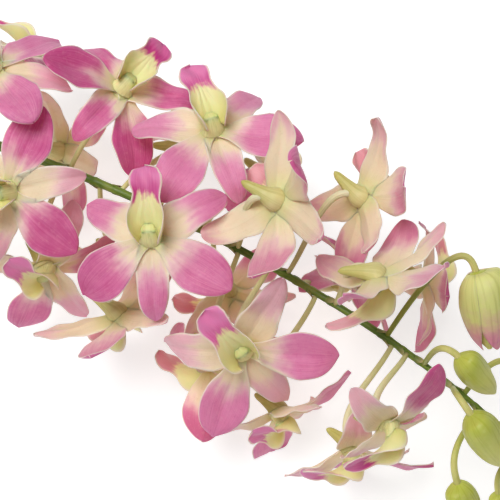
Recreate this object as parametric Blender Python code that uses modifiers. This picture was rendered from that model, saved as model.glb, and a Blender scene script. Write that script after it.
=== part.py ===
"""Dendrobium orchid stem: one cut flowering stem, lying on a surface.

The stem runs along +X from its cut end to its tip. Open blooms stand round its upper half, each on
its own stalk, and buds follow them to the tip. Everything is worked out in millimetres and degrees
in the stem's own frame, with the surface at height 0, and handed to Blender in metres.
"""

import math
import random

import bmesh
import bpy
import numpy as np
from mathutils import kdtree

# The stem: stations are lengths along it, with 0 at the left end of the full blooms.
CUT_END = -215.0
TIP = 292.0
HEADING = ((-215, 15), (-30, 12), (120, 1), (292, -15))
PITCH = ((-215, 5), (-170, 15), (-60, 14), (10, 3), (190, 0), (292, -20))
STEM_RADIUS = ((-215, 2.7), (-40, 2.3), (180, 1.7), (280, 1.0), (292, 0.6))
CUT_HEIGHT = 2.75
STEM_STEP = 22.0
ORIGIN = (41.8, 3.75)

# A petal's thickness, and the gap that touching pieces keep. A stalk starts a little clear of that gap,
# because the stem's sides are flat.
BLADE = 0.8
SEAT_GAP = 0.3
FOOT_GAP = SEAT_GAP + 0.15
STALK_RADIUS = 1.1

# A petal that would sink below the surface bends over this height to lie along it, and each petal of a
# bloom lies a step above the last.
LAY = BLADE / 2
LAY_BLEND = 2.5
LAY_STEP = 0.17

# Each open bloom, in the order in which they take their room: its station, the side of the stem it
# stands on (0 is up, + is towards +Y), how far out its middle is, the side it faces, its nod towards
# the tip, its roll and its size.
BLOOMS = (
    (67, -34, 40, -14, 4, -62, 1.06),
    (120, -76, 42, -34, 8, -30, 1.08),
    (65, 38, 43, 2, 2, -37, 1.06),
    (21, 64, 45, 8, -4, -70, 1.06),
    (152, 10, 40, -150, 48, -40, 1.04),
    (128, 60, 42, 138, 22, 18, 1.04),
    (104, 20, 39, 138, 26, 20, 1.06),
    (105, -110, 47, -116, 30, 10, 1.00),
    (1, -44, 40, -26, 12, 30, 1.04),
    (-22, 18, 41, 0, 0, 30, 1.04),
    (60, -108, 51, -146, 28, 20, 1.06),
    (18, -88, 42, -54, 16, -34, 1.04),
    (143, -108, 52, -72, 28, -20, 1.00),
    (188, -58, 37, -60, 44, 16, 0.94),
    (181, -112, 48, -98, 38, -12, 0.98),
    (-32, 84, 43, 56, 4, 14, 1.02),
    (-42, -78, 43, -52, 10, -10, 1.02),
    (46, 104, 40, 70, 10, 26, 1.00),
    (86, 84, 42, 50, 18, -18, 1.02),
    (164, 104, 36, 104, 44, 12, 0.96),
    (-11, 148, 34, 142, 24, 0, 0.96),
    (36, -146, 34, -112, 18, 12, 0.96),
    (92, -160, 34, -140, 16, -10, 0.96),
    (135, 146, 34, 60, 10, 8, 0.95),
)

# Each bud: its station, its side, its stalk's reach, its length, its width and its swing to the side.
BUDS = (
    (177, 60, 44, 33, 18, 0.9),
    (196, 8, 26, 24, 12, 0.0),
    (211, -24, 28, 29, 14.5, 0.0),
    (216, 100, 26, 23, 11, 0.0),
    (225, -84, 30, 25, 12, 0.0),
    (236, 36, 22, 19, 9.5, 0.0),
    (247, -114, 20, 16, 8, 0.0),
    (257, 70, 15, 13, 6.5, 0.0),
)

# A bud's outline: shares of its length and of its width.
BUD_SHAPE = ((0, 0.34), (0.12, 0.74), (0.34, 1.0), (0.62, 0.9), (0.85, 0.55), (1.0, 0.12))

# The last buds, too small for stalks of their own: station, side, length and width.
TIP_BUDS = ((267, -40, 9, 4.6), (274, 130, 7.5, 3.8), (281, -20, 6.5, 3.2), (288, 90, 5.5, 2.8))

# Sheaths round the bare part of the stem: station, length and how far they stand off it.
SHEATHS = ((-182, 12, 1.0), (-132, 13, 1.0), (-88, 12, 0.9), (-62, 10, 0.8))

# Sepals and petals: turn from the upper sepal, length, width, how wide the root is and where the
# blade is widest as shares, how round its end is, its place in front of the throat, and its lift,
# curl and hollow.
TEPALS = (
    ("upper_sepal", 0, 30, 14.5, 0.40, 0.52, 2.6, -0.5, 14, -34, 0.18),
    ("right_petal", 54, 34, 21, 0.20, 0.62, 4.6, 0.9, 12, -28, 0.12),
    ("left_petal", -54, 34, 21, 0.20, 0.62, 4.6, 0.9, 12, -28, 0.12),
    ("right_sepal", 119, 31, 15.5, 0.42, 0.44, 2.4, -0.5, 10, -38, 0.16),
    ("left_sepal", -119, 31, 15.5, 0.42, 0.44, 2.4, -0.5, 10, -38, 0.16),
)
TEPAL_ROOT = 2.8
TIP_SHARPNESS = 0.68
LIP = {"length": 27.0, "lift": 46.0, "curl": -64.0, "root": 3.3}
LIP_WIDTH = ((0, 8), (0.2, 15.5), (0.36, 15), (0.52, 10), (0.78, 14.5), (0.93, 9.5), (1, 0))
LIP_FOLD = ((0, 90), (0.2, 95), (0.36, 68), (0.52, 42), (0.78, 20), (1, 14))

# The throat with its spur behind the lip, and the column over it: place to the upper sepal's side,
# place to the front, and radius.
THROAT_FRONT = 2.4
SPUR = ((0, THROAT_FRONT, 3.8), (0, -0.6, 4.4), (-6.6, -5.6, 3.2), (-12.0, -8.0, 1.3))
COLUMN = ((0.8, THROAT_FRONT + SEAT_GAP, 2.7), (0.8, 4.5, 2.6), (-3.0, 10.2, 2.0))

# A bloom's stalk reaches forwards by this much on its way out, and enters the back of the bloom.
STALK_LEAN = 11.0
STALK_END = 1.0

# How far a bloom may shift and bend to clear the rest, and how large one step of that is.
SEED = 7
TRIES = 250
SWEEPS = 4
CLEAR = 4.0
STEP = 0.3
MOST = {"stands": 14, "reach": 5, "faces": 30, "nod": 28, "roll": 26, "lift": 26, "curl": 30}
FINE = (10, 7)

# Grid cells along and across each blade.
SEGMENTS = {"sepal": (3, 2), "petal": (4, 2), "lip": (4, 4)}

COLOURS = {
    "petal": (0.80, 0.36, 0.62, 0.55),
    "lip": (0.86, 0.80, 0.42, 0.5),
    "stem": (0.13, 0.27, 0.05, 0.5),
    "bud": (0.52, 0.62, 0.20, 0.5),
}


def unit(vector):
    return vector / np.linalg.norm(vector)


def read(table, at):
    """The value of a table of (place, value) pairs at a place."""
    places, values = zip(*table)
    return np.interp(at, places, values)


def stem_line():
    """Points and headings every millimetre along the stem, from the cut end to the tip."""
    stations = np.arange(CUT_END, TIP + 0.5, 1.0)
    heading = np.radians(read(HEADING, stations))
    pitch = np.radians(read(PITCH, stations))
    tangents = np.stack(
        [np.cos(pitch) * np.cos(heading), np.cos(pitch) * np.sin(heading), np.sin(pitch)], axis=1
    )
    points = np.cumsum(tangents, axis=0) - tangents
    middle = np.abs(stations).argmin()
    points[:, :2] -= points[middle, :2]
    points[:, 2] += CUT_HEIGHT - points[0, 2]
    return stations, points, tangents


LINE = stem_line()


def stem_at(station):
    """Point, direction, upward and sideways unit vectors of the stem at a station."""
    stations, points, tangents = LINE
    point = np.array([np.interp(station, stations, points[:, k]) for k in range(3)])
    along = unit(np.array([np.interp(station, stations, tangents[:, k]) for k in range(3)]))
    side = unit(np.cross((0, 0, 1), along))
    return point, along, np.cross(along, side), side


def outward(station, angle):
    """The direction straight out of the stem on the side given by an angle from the top."""
    _, _, up, side = stem_at(station)
    return math.cos(math.radians(angle)) * up + math.sin(math.radians(angle)) * side


def settled(points, over=0.0):
    """Bends what would sink below the surface, so that it lies along it, or a little over it."""
    z = points[..., 2]
    low = LAY + over
    near = np.abs(z - low) < LAY_BLEND
    bent = np.where(near, low + (z - low + LAY_BLEND) ** 2 / (4 * LAY_BLEND), np.maximum(z, low))
    return np.concatenate([points[..., :2], bent[..., None]], axis=-1)


def arc(share, start, turn):
    """How far out and up a line of length 1 gets that starts at one angle and turns evenly."""
    angle = start + turn * share
    return (np.sin(angle) - math.sin(start)) / turn, (math.cos(start) - np.cos(angle)) / turn


def natural(draw):
    """The small differences that one bloom has from the next, before it has to make room."""
    pose = {name: [0.0] for name in ("stands", "reach", "faces", "nod", "roll")}
    pose["lift"] = [draw.uniform(-6, 6) for _ in TEPALS]
    pose["curl"] = [draw.uniform(-14, 14) for _ in TEPALS]
    pose["wave"] = [(draw.uniform(0.02, 0.06), draw.uniform(0, 6.3)) for _ in TEPALS]
    return pose


def nudged(pose, draw):
    """The pose with each of its values moved by a small random step, within its limits."""
    moved = dict(pose)
    for name, most in MOST.items():
        moved[name] = [
            min(most, max(-most, value + draw.gauss(0, STEP * most) * (draw.random() < 0.5)))
            for value in pose[name]
        ]
    return moved


def bloom_at(row, pose):
    """A bloom from its row in the table and its own pose."""
    station, stands, reach, faces, nod, roll, size = row
    stands += pose["stands"][0]
    reach += pose["reach"][0]
    faces = math.radians(faces + pose["faces"][0])
    nod = math.radians(nod + pose["nod"][0])
    roll = math.radians(roll + pose["roll"][0])
    _, along, up, side = stem_at(station)
    out = math.cos(faces) * up + math.sin(faces) * side
    front = math.cos(nod) * out + math.sin(nod) * along
    dorsal = math.cos(nod) * along - math.sin(nod) * out
    dorsal = math.cos(roll) * dorsal + math.sin(roll) * np.cross(front, dorsal)
    middle = stem_at(station + STALK_LEAN)[0] + reach * outward(station + STALK_LEAN, stands)
    return {
        "station": station,
        "stands": stands,
        "middle": middle,
        "axes": np.stack([np.cross(dorsal, front), dorsal, front]),
        "size": size,
        "bends": list(zip(pose["lift"], pose["curl"])),
        "waves": pose["wave"],
    }


def in_place(bloom, right, dorsal, front):
    """Turns a bloom's own coordinates into points of the stem's frame."""
    local = np.stack(np.broadcast_arrays(right, dorsal, front), axis=-1) * bloom["size"]
    return bloom["middle"] + local @ bloom["axes"]


def tepal_surface(bloom, index, u, v):
    """The middle surface of one sepal or petal: u runs from root to tip, v from edge to edge."""
    _, turn, length, width, root, widest, roundness, base, lift, curl, hollow = TEPALS[index]
    more_lift, more_curl = bloom["bends"][index]
    wave, phase = bloom["waves"][index]
    turn = math.radians(turn)
    start = math.radians(lift + more_lift)
    bend = math.radians(curl + more_curl)
    out, rise = arc(u, start, bend)
    slope = start + bend * u
    swell = np.sin(math.pi / 2 * np.minimum(1, u / widest)) ** 2
    half = width / 2 * (root + (1 - root) * swell) * (1 - u**roundness) ** TIP_SHARPNESS
    raised = hollow * half * v**2 + wave * half * np.sin(5 * u + phase) * v * u
    reach = TEPAL_ROOT + length * out - np.sin(slope) * raised
    front = base + length * rise + np.cos(slope) * raised
    across = half * v
    right = math.sin(turn) * reach + math.cos(turn) * across
    dorsal = math.cos(turn) * reach - math.sin(turn) * across
    return settled(in_place(bloom, right, dorsal, front), LAY_STEP * index)


def lip_surface(bloom, u, v):
    """The middle surface of the lip: a trough round the column that opens into a pointed lobe."""
    start = math.radians(LIP["lift"])
    bend = math.radians(LIP["curl"])
    out, rise = arc(u, start, bend)
    slope = start + bend * u
    width = read(LIP_WIDTH, u)
    fold = np.radians(read(LIP_FOLD, u))
    radius = width / 2 / fold
    across = radius * np.sin(fold * v)
    raised = radius * (1 - np.cos(fold * v))
    reach = 0.4 + LIP["length"] * out - np.sin(slope) * raised
    front = LIP["root"] + LIP["length"] * rise + np.cos(slope) * raised
    return settled(in_place(bloom, across, -reach, front))


def foot_at(station, angle):
    """Where a stalk starts, just off the stem, with the stem's direction and the way out there."""
    point, along, _, _ = stem_at(station)
    out = outward(station, angle)
    return point + out * (read(STEM_RADIUS, station) + FOOT_GAP), along, out


def curved(foot, leaving, arriving, end, count):
    """Points along a smooth curve that leaves its foot and reaches its end by two handles."""
    t = np.linspace(0, 1, count)[:, None]
    return (
        (1 - t) ** 3 * foot
        + 3 * (1 - t) ** 2 * t * leaving
        + 3 * (1 - t) * t**2 * arriving
        + t**3 * end
    )


def stalk_line(bloom, count):
    """Points along the stalk, from just off the stem to the back of the bloom."""
    foot, along, out = foot_at(bloom["station"], bloom["stands"])
    front, dorsal = bloom["axes"][2], bloom["axes"][1]
    end = bloom["middle"] - front * STALK_END
    span = np.linalg.norm(end - foot)
    leaving = foot + unit(out + 0.1 * along) * span * 0.4
    arriving = end - unit(front + 0.5 * dorsal) * span * 0.38
    return curved(foot, leaving, arriving, end, count)


def along_axis(bloom, steps):
    """A tube on a bloom's middle plane, as points and radii."""
    places = np.array([in_place(bloom, 0, dorsal, front) for dorsal, front, _ in steps])
    return places, [radius * bloom["size"] for _, _, radius in steps]


def cloud_of(bloom):
    """Points spread over the whole bloom and its stalk, close enough to feel a crossing."""
    u, v = np.meshgrid(np.linspace(0.12, 0.99, FINE[0]), np.linspace(-1, 1, FINE[1]))
    sheets = [tepal_surface(bloom, k, u, v).reshape(-1, 3) for k in range(len(TEPALS))]
    sheets.append(lip_surface(bloom, u, v).reshape(-1, 3))
    right, dorsal, _ = bloom["axes"]
    turns = np.linspace(0, 2 * math.pi, 6, endpoint=False)[:, None]
    rings = [
        place + radius * (np.cos(turns) * right + np.sin(turns) * dorsal)
        for place, radius in list(zip(*along_axis(bloom, SPUR)))[1:]
    ]
    column = [
        in_place(bloom, math.sin(turn) * 2.6, place + math.cos(turn) * 2.6, front)
        for place, front in ((0.8, 3.2), (0.0, 6.0), (-1.6, 8.6))
        for turn in (-1.3, 0.0, 1.3)
    ]
    return np.concatenate([*sheets, stalk_line(bloom, 17)[1:], *rings, column])


def bud_at(row):
    """A bud from its row in the table: where its base is and how it hangs."""
    station, stands, reach, length, width, swing = row
    _, along, _, _ = stem_at(station)
    out = outward(station, stands)
    base = stem_at(station + 0.35 * reach)[0] + reach * out
    hang = unit(0.75 * along + 0.25 * out - np.array([0, swing, 0.75]))
    low = (base + hang * length)[2] - width / 2
    base[2] += max(0, 1.0 - low)
    return {"station": station, "stands": stands, "base": base, "hang": hang, "size": (length, width)}


def bud_stalk(bud, count):
    """Points along a bud's arching stalk."""
    foot, _, out = foot_at(bud["station"], bud["stands"])
    end = bud["base"] + bud["hang"] * 1.5
    span = np.linalg.norm(end - foot)
    leaving = foot + unit(out + 0.3 * np.array([0, 0, 1])) * span * 0.55
    arriving = end - bud["hang"] * span * 0.5
    return curved(foot, leaving, arriving, end, count)


def bud_cloud(bud):
    """Points down the middle and sides of a bud, and along its stalk."""
    length, width = bud["size"]
    side = unit(np.cross(bud["hang"], (0, 0, 1)))
    other = np.cross(bud["hang"], side)
    ring = [
        bud["base"] + bud["hang"] * length * share
        + (side * math.cos(turn) + other * math.sin(turn)) * read(BUD_SHAPE, share) * width / 2
        for share in np.linspace(0.05, 1, 9)
        for turn in np.linspace(0, 2 * math.pi, 10, endpoint=False)
    ]
    return np.concatenate([bud_stalk(bud, 12)[1:], ring])


def tree_of(points):
    tree = kdtree.KDTree(len(points))
    for k, point in enumerate(points):
        tree.insert(point, k)
    tree.balance()
    return tree


def crowding(tree, points, enough):
    """How far the points reach into the room that others need, or a little over enough."""
    total = 0.0
    for point in points:
        total += max(0.0, CLEAR - tree.find(point)[2]) ** 2
        if total > enough:
            return total
    return total


def placed():
    """Every bloom and bud. Each bloom shifts and bends in small steps until it clears the rest, and
    the whole stem is gone over more than once, so that an early bloom makes room for a late one."""
    draw = random.Random(SEED)
    buds = [bud_at(row) for row in BUDS]
    fixed = [LINE[1][::3], *[bud_cloud(bud) for bud in buds]]
    poses = [natural(draw) for _ in BLOOMS]
    clouds = {}
    for _ in range(SWEEPS):
        for number, row in enumerate(BLOOMS):
            others = [cloud for other, cloud in clouds.items() if other != number]
            tree = tree_of(np.concatenate([*fixed, *others]))
            least = crowding(tree, cloud_of(bloom_at(row, poses[number])), math.inf)
            for _ in range(TRIES):
                if least == 0:
                    break
                trial = nudged(poses[number], draw)
                crowded = crowding(tree, cloud_of(bloom_at(row, trial)), least)
                if crowded < least:
                    poses[number], least = trial, crowded
            clouds[number] = cloud_of(bloom_at(row, poses[number]))
    return [bloom_at(row, pose) for row, pose in zip(BLOOMS, poses)], buds


def material(name):
    made = bpy.data.materials.new(name)
    red, green, blue, rough = COLOURS[name]
    made.use_nodes = True
    shader = made.node_tree.nodes["Principled BSDF"]
    shader.inputs["Base Color"].default_value = (red, green, blue, 1)
    shader.inputs["Roughness"].default_value = rough
    shader.inputs["Metallic"].default_value = 0
    made.diffuse_color = (red, green, blue, 1)
    return made


def to_metres(points):
    """Points of the stem's frame in the part's frame, whose origin is under the middle of its box."""
    return (np.asarray(points) - (ORIGIN[0], ORIGIN[1], 0)) * 0.001


def solid(obj, collection):
    """The object as a plain mesh, with its modifiers and its place worked in."""
    bpy.context.view_layer.update()
    graph = bpy.context.evaluated_depsgraph_get()
    mesh = bpy.data.meshes.new_from_object(obj.evaluated_get(graph))
    mesh.transform(obj.matrix_world)
    bm = bmesh.new()
    bm.from_mesh(mesh)
    bmesh.ops.remove_doubles(bm, verts=bm.verts, dist=1e-6)
    bm.to_mesh(mesh)
    bm.free()
    made = bpy.data.objects.new(obj.name + "_solid", mesh)
    collection.objects.link(made)
    bpy.data.objects.remove(obj)
    return made


def tube(name, points, radii, collection, sides=1):
    """A round tube through points, tapered by the radii, with closed ends."""
    curve = bpy.data.curves.new(name, "CURVE")
    curve.dimensions = "3D"
    curve.bevel_depth = 0.001
    curve.bevel_resolution = sides
    curve.use_fill_caps = True
    spline = curve.splines.new("POLY")
    spline.points.add(len(points) - 1)
    for end, point, radius in zip(spline.points, to_metres(points), radii):
        end.co = (*point, 1)
        end.radius = radius
    obj = bpy.data.objects.new(name, curve)
    collection.objects.link(obj)
    return solid(obj, collection)


def blade(name, surface, collection, segments):
    """A thin blade: a flat grid bent to a surface and given its thickness. It is split into triangles
    first, so that both of its faces fold alike."""
    bm = bmesh.new()
    bmesh.ops.create_grid(bm, x_segments=segments[0], y_segments=segments[1], size=1)
    for vertex in bm.verts:
        u = math.sin(math.pi / 4 * (vertex.co.x + 1))
        vertex.co = to_metres(surface(np.float64(u), np.float64(vertex.co.y)))
    bmesh.ops.remove_doubles(bm, verts=bm.verts, dist=1e-6)
    bmesh.ops.triangulate(bm, faces=bm.faces)
    mesh = bpy.data.meshes.new(name)
    bm.to_mesh(mesh)
    bm.free()
    obj = bpy.data.objects.new(name, mesh)
    collection.objects.link(obj)
    thick = obj.modifiers.new("thickness", "SOLIDIFY")
    thick.thickness = BLADE * 0.001
    thick.offset = 0
    return solid(obj, collection)


def one_body(mesh):
    """Keeps only the largest body of a mesh: a union can seal off a void or leave a scrap."""
    bm = bmesh.new()
    bm.from_mesh(mesh)
    bmesh.ops.triangulate(bm, faces=bm.faces)
    met, bodies = set(), []
    for face in bm.faces:
        if face in met:
            continue
        met.add(face)
        body, waiting = [], [face]
        while waiting:
            reached = waiting.pop()
            body.append(reached)
            edges = [edge for edge in reached.edges if len(edge.link_faces) == 2]
            for other in [other for edge in edges for other in edge.link_faces]:
                if other not in met:
                    met.add(other)
                    waiting.append(other)
        bodies.append(body)
    bodies.sort(key=len)
    bmesh.ops.delete(bm, geom=[face for body in bodies[:-1] for face in body], context="FACES")
    bm.to_mesh(mesh)
    bm.free()


def fused(name, pieces, finish, collection):
    """One node from overlapping pieces, by a single Boolean union."""
    extra = bpy.data.collections.new(name + "_pieces")
    bpy.context.scene.collection.children.link(extra)
    base = pieces[0]
    for piece in pieces[1:]:
        collection.objects.unlink(piece)
        extra.objects.link(piece)
    union = base.modifiers.new("union", "BOOLEAN")
    union.operation = "UNION"
    union.operand_type = "COLLECTION"
    union.collection = extra
    union.solver = "EXACT"
    node = solid(base, collection)
    one_body(node.data)
    for piece in pieces[1:]:
        bpy.data.objects.remove(piece)
    bpy.data.collections.remove(extra)
    node.name = name
    node.data.name = name
    node.data.materials.clear()
    node.data.materials.append(finish)
    return node


def make_bloom(number, bloom, collection, finishes):
    """One open bloom: the stalk, throat, spur, sepals and petals, and the lip with its column."""
    name = f"bloom_{number:02d}"
    line = stalk_line(bloom, 5)
    radii = np.linspace(STALK_RADIUS, 1.6 * STALK_RADIUS, len(line))
    pieces = [tube(name + "_throat", *along_axis(bloom, SPUR), collection)]
    pieces.append(tube(name + "_stalk", line, radii, collection, sides=0))
    for k, tepal in enumerate(TEPALS):
        segments = SEGMENTS[tepal[0].split("_")[1]]
        surface = lambda u, v, k=k: tepal_surface(bloom, k, u, v)
        pieces.append(blade(f"{name}_{tepal[0]}", surface, collection, segments))
    fused(name, pieces, finishes["petal"], collection)
    parts = [tube(name + "_column", *along_axis(bloom, COLUMN), collection, sides=0)]
    surface = lambda u, v: lip_surface(bloom, u, v)
    parts.append(blade(name + "_lip", surface, collection, SEGMENTS["lip"]))
    fused(f"lip_{number:02d}", parts, finishes["lip"], collection)


def make_bud(number, bud, collection, finishes):
    """One closed bud on its stalk, with the short spur at its base."""
    name = f"bud_{number:02d}"
    length, width = bud["size"]
    body = [bud["base"] + bud["hang"] * length * along for along, _ in BUD_SHAPE]
    pieces = [tube(name + "_body", body, [width / 2 * wide for _, wide in BUD_SHAPE], collection)]
    line = bud_stalk(bud, 6)
    thin = min(STALK_RADIUS, width / 8)
    pieces.append(tube(name + "_stalk", line, [thin] * len(line), collection, sides=0))
    back = unit(bud["base"] - line[-3] + 1e-6)
    heel = np.cross(np.cross(bud["hang"], back), bud["hang"])
    heel = unit(heel if np.linalg.norm(heel) > 1e-3 else np.cross(bud["hang"], (0, 0, 1)))
    top = bud["base"] + bud["hang"] * length * 0.3
    toe = bud["base"] - (bud["hang"] - heel * 1.4) * length * 0.16
    pieces.append(tube(name + "_spur", [top, toe], [width * 0.34, width * 0.12], collection, sides=0))
    fused(name, pieces, finishes["bud"], collection)


def make_stem(collection, finishes):
    """The stem that carries it all, with its sheaths, the scales below its stalks and the last buds."""
    stations = np.append(np.arange(CUT_END, TIP, STEM_STEP), TIP)
    line = [stem_at(s)[0] for s in stations]
    pieces = [tube("stem_axis", line, read(STEM_RADIUS, stations), collection)]
    for row in (*BLOOMS, *BUDS):
        station = row[0] - 3.6
        point, along, _, _ = stem_at(station)
        out = outward(station, row[1])
        scale = [point, point + (out * 0.8 + along * 0.35) * 4.6]
        pieces.append(tube("stem_scale", scale, [1.5, 0.45], collection, sides=0))
    for station, length, stands_off in SHEATHS:
        ring = [stem_at(station + length * share)[0] for share in (0, 0.12, 1)]
        radius = read(STEM_RADIUS, station)
        radii = [radius * 0.8, radius + stands_off * 0.4, radius + stands_off]
        pieces.append(tube("stem_sheath", ring, radii, collection))
    for station, side, length, width in TIP_BUDS:
        point, along, _, _ = stem_at(station)
        lean = unit(along + 0.9 * outward(station, side))
        body = [point + lean * length * share for share in (0.05, 0.4, 0.75, 1.0)]
        radii = [width * share for share in (0.3, 0.5, 0.42, 0.08)]
        pieces.append(tube("stem_bud", body, radii, collection, sides=0))
    fused("stem", pieces, finishes["stem"], collection)


def main():
    for obj in list(bpy.data.objects):
        bpy.data.objects.remove(obj)
    collection = bpy.data.collections.new("dendrobium_stem")
    bpy.context.scene.collection.children.link(collection)
    finishes = {name: material(name) for name in COLOURS}
    blooms, buds = placed()
    make_stem(collection, finishes)
    for number, bloom in enumerate(blooms, 1):
        make_bloom(number, bloom, collection, finishes)
    for number, bud in enumerate(buds, 1):
        make_bud(number, bud, collection, finishes)
    for obj in collection.objects:
        obj.data.shade_smooth()
        obj.data.set_sharp_from_angle(angle=math.radians(35))


main()
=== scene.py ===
# Dendrobium orchid stem: the finish of its blooms, buds, stalks and stem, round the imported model.
# Shapes are worked out in millimetres and degrees in the stem's own frame, as the model's are.

import math
import random

import bpy
import numpy as np
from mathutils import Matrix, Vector, kdtree


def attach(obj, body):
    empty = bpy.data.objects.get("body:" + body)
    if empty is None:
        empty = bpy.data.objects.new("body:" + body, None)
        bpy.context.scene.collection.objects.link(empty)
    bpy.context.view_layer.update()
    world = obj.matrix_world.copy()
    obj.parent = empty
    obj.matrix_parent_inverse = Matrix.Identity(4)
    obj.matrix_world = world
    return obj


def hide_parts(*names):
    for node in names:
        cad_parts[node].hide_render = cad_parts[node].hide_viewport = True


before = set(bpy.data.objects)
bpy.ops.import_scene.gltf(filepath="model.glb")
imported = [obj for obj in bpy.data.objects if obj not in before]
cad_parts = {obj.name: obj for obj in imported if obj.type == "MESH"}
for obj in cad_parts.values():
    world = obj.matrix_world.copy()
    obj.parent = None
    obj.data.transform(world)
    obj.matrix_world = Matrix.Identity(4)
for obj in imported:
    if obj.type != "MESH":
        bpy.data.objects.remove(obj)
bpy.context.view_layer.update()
bpy.ops.object.select_all(action="DESELECT")
print("packed model loaded:", len(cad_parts), "nodes")

# Camera: azimuth 0 looks along +Y, and the elevation is above the horizon.
cameraView = {
    "azimuth": 32.0,
    "elevation": 70.0,
    "lens": 85.0,
    "sensor": 36.0,
    "frameWidth": 0.212,          # metres across the picture at the target
    "target": (0.073, -0.00175, 0.050),
    "raise": 0.013,               # the target moves up the picture by this much
}


def placeCamera():
    view = cameraView
    azimuth, elevation = math.radians(view["azimuth"]), math.radians(view["elevation"])
    flat = math.cos(elevation)
    back = Vector((math.sin(azimuth) * flat, -math.cos(azimuth) * flat, math.sin(elevation)))
    across = Vector((0, 0, 1)).cross(back).normalized()
    target = Vector(view["target"]) + back.cross(across) * view["raise"]
    distance = view["frameWidth"] * view["lens"] / view["sensor"]
    bpy.ops.object.camera_add(location=target + back * distance)
    camera = bpy.context.object
    camera.name = "camera"
    camera.rotation_mode = "QUATERNION"
    camera.rotation_quaternion = (-back).to_track_quat("-Z", "Y")
    camera.data.lens = view["lens"]
    camera.data.sensor_width = view["sensor"]
    camera.data.dof.use_dof = False
    bpy.context.scene.camera = camera


placeCamera()

# Studio: a pale floor, soft light all round, one large soft lamp and a weak one that fills.
studio = {
    "floorSize": 12.0,
    "floorColour": (0.55, 0.55, 0.55, 1),
    "floorRoughness": 0.9,
    "floorGlow": 0.67,            # the floor is a light table: it keeps the shadows on it pale
    "skyColour": (1.0, 1.0, 1.0, 1),
    "skyStrength": 0.11,
    "lampSize": 1.0,
    "lampPower": 28.5,
    "lampPlace": (-0.42, -0.12, 1.78),
    "fillSize": 1.2,
    "fillPower": 1.8,
    "fillPlace": (0.9, -0.9, 1.1),
}


def aimAt(piece, place):
    piece.rotation_euler = (Vector(place) - piece.location).to_track_quat("-Z", "Y").to_euler()


def buildStudio():
    bpy.ops.mesh.primitive_plane_add(size=studio["floorSize"])
    floor = bpy.context.object
    floor.name = "floor"
    paper = bpy.data.materials.new("floorPaper")
    paper.use_nodes = True
    shader = paper.node_tree.nodes["Principled BSDF"]
    shader.inputs["Base Color"].default_value = studio["floorColour"]
    shader.inputs["Roughness"].default_value = studio["floorRoughness"]
    shader.inputs["Specular IOR Level"].default_value = 0.0
    shader.inputs["Emission Color"].default_value = (1, 1, 1, 1)
    shader.inputs["Emission Strength"].default_value = studio["floorGlow"]
    floor.data.materials.append(paper)
    for name in ("lamp", "fill"):
        bpy.ops.object.light_add(type="AREA", location=studio[name + "Place"])
        light = bpy.context.object
        light.name = name
        light.data.size = studio[name + "Size"]
        light.data.energy = studio[name + "Power"]
        aimAt(light, cameraView["target"])
    sky = bpy.data.worlds.new("studioSky")
    bpy.context.scene.world = sky
    sky.use_nodes = True
    background = sky.node_tree.nodes["Background"]
    background.inputs["Color"].default_value = studio["skyColour"]
    background.inputs["Strength"].default_value = studio["skyStrength"]
    bpy.context.scene.view_settings.view_transform = "Standard"


buildStudio()
print("camera and studio placed")

# The stem's line: stations are lengths along it, with 0 at the left end of the full blooms.
stem = {
    "cutEnd": -215.0,
    "tip": 292.0,
    "heading": ((-215, 15), (-30, 12), (120, 1), (292, -15)),
    "pitch": ((-215, 5), (-170, 15), (-60, 14), (10, 3), (190, 0), (292, -20)),
    "radius": ((-215, 2.7), (-40, 2.3), (180, 1.7), (280, 1.0), (292, 0.6)),
    "cutHeight": 2.75,
    "origin": (41.8, 3.75),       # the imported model's origin, in the stem's frame
}

# Each open bloom: station, side it stands on (0 is up, + towards +Y), reach, side it faces, nod
# towards the tip, roll, size.
bloomPlaces = (
    (67, -34, 40, -14, 4, -62, 1.06),
    (120, -76, 42, -34, 8, -30, 1.08),
    (65, 38, 43, 2, 2, -37, 1.06),
    (21, 64, 45, 8, -4, -70, 1.06),
    (152, 10, 40, -150, 48, -40, 1.04),
    (128, 60, 42, 138, 22, 18, 1.04),
    (104, 20, 39, 138, 26, 20, 1.06),
    (105, -110, 47, -116, 30, 10, 1.00),
    (1, -44, 40, -26, 12, 30, 1.04),
    (-22, 18, 41, 0, 0, 30, 1.04),
    (60, -108, 51, -146, 28, 20, 1.06),
    (18, -88, 42, -54, 16, -34, 1.04),
    (143, -108, 52, -72, 28, -20, 1.00),
    (188, -58, 37, -60, 44, 16, 0.94),
    (181, -112, 48, -98, 38, -12, 0.98),
    (-32, 84, 43, 56, 4, 14, 1.02),
    (-42, -78, 43, -52, 10, -10, 1.02),
    (46, 104, 40, 70, 10, 26, 1.00),
    (86, 84, 42, 50, 18, -18, 1.02),
    (164, 104, 36, 104, 44, 12, 0.96),
    (-11, 148, 34, 142, 24, 0, 0.96),
    (36, -146, 34, -112, 18, 12, 0.96),
    (92, -160, 34, -140, 16, -10, 0.96),
    (135, 146, 34, 60, 10, 8, 0.95),
)

# Each bud: station, side, stalk's reach, length, width, swing to the side.
budPlaces = (
    (177, 60, 44, 33, 18, 0.9),
    (196, 8, 26, 24, 12, 0.0),
    (211, -24, 28, 29, 14.5, 0.0),
    (216, 100, 26, 23, 11, 0.0),
    (225, -84, 30, 25, 12, 0.0),
    (236, 36, 22, 19, 9.5, 0.0),
    (247, -114, 20, 16, 8, 0.0),
    (257, 70, 15, 13, 6.5, 0.0),
)
budOutline = ((0, 0.34), (0.12, 0.74), (0.34, 1.0), (0.62, 0.9), (0.85, 0.55), (1.0, 0.12))
budHanging = {
    "ahead": 0.35,                # how far it stands ahead of its stalk's foot, as a share of the reach
    "ways": (0.75, 0.25, 0.75),   # how much it points along the stem, outward and down
    "offFloor": 1.0,
    "inBud": 1.5,                 # millimetres of the stalk inside the bud
    "stalkRises": 0.3,
    "stalkReach": (0.55, 0.5),    # how far the stalk's bends reach from its foot and from the bud
}

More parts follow.
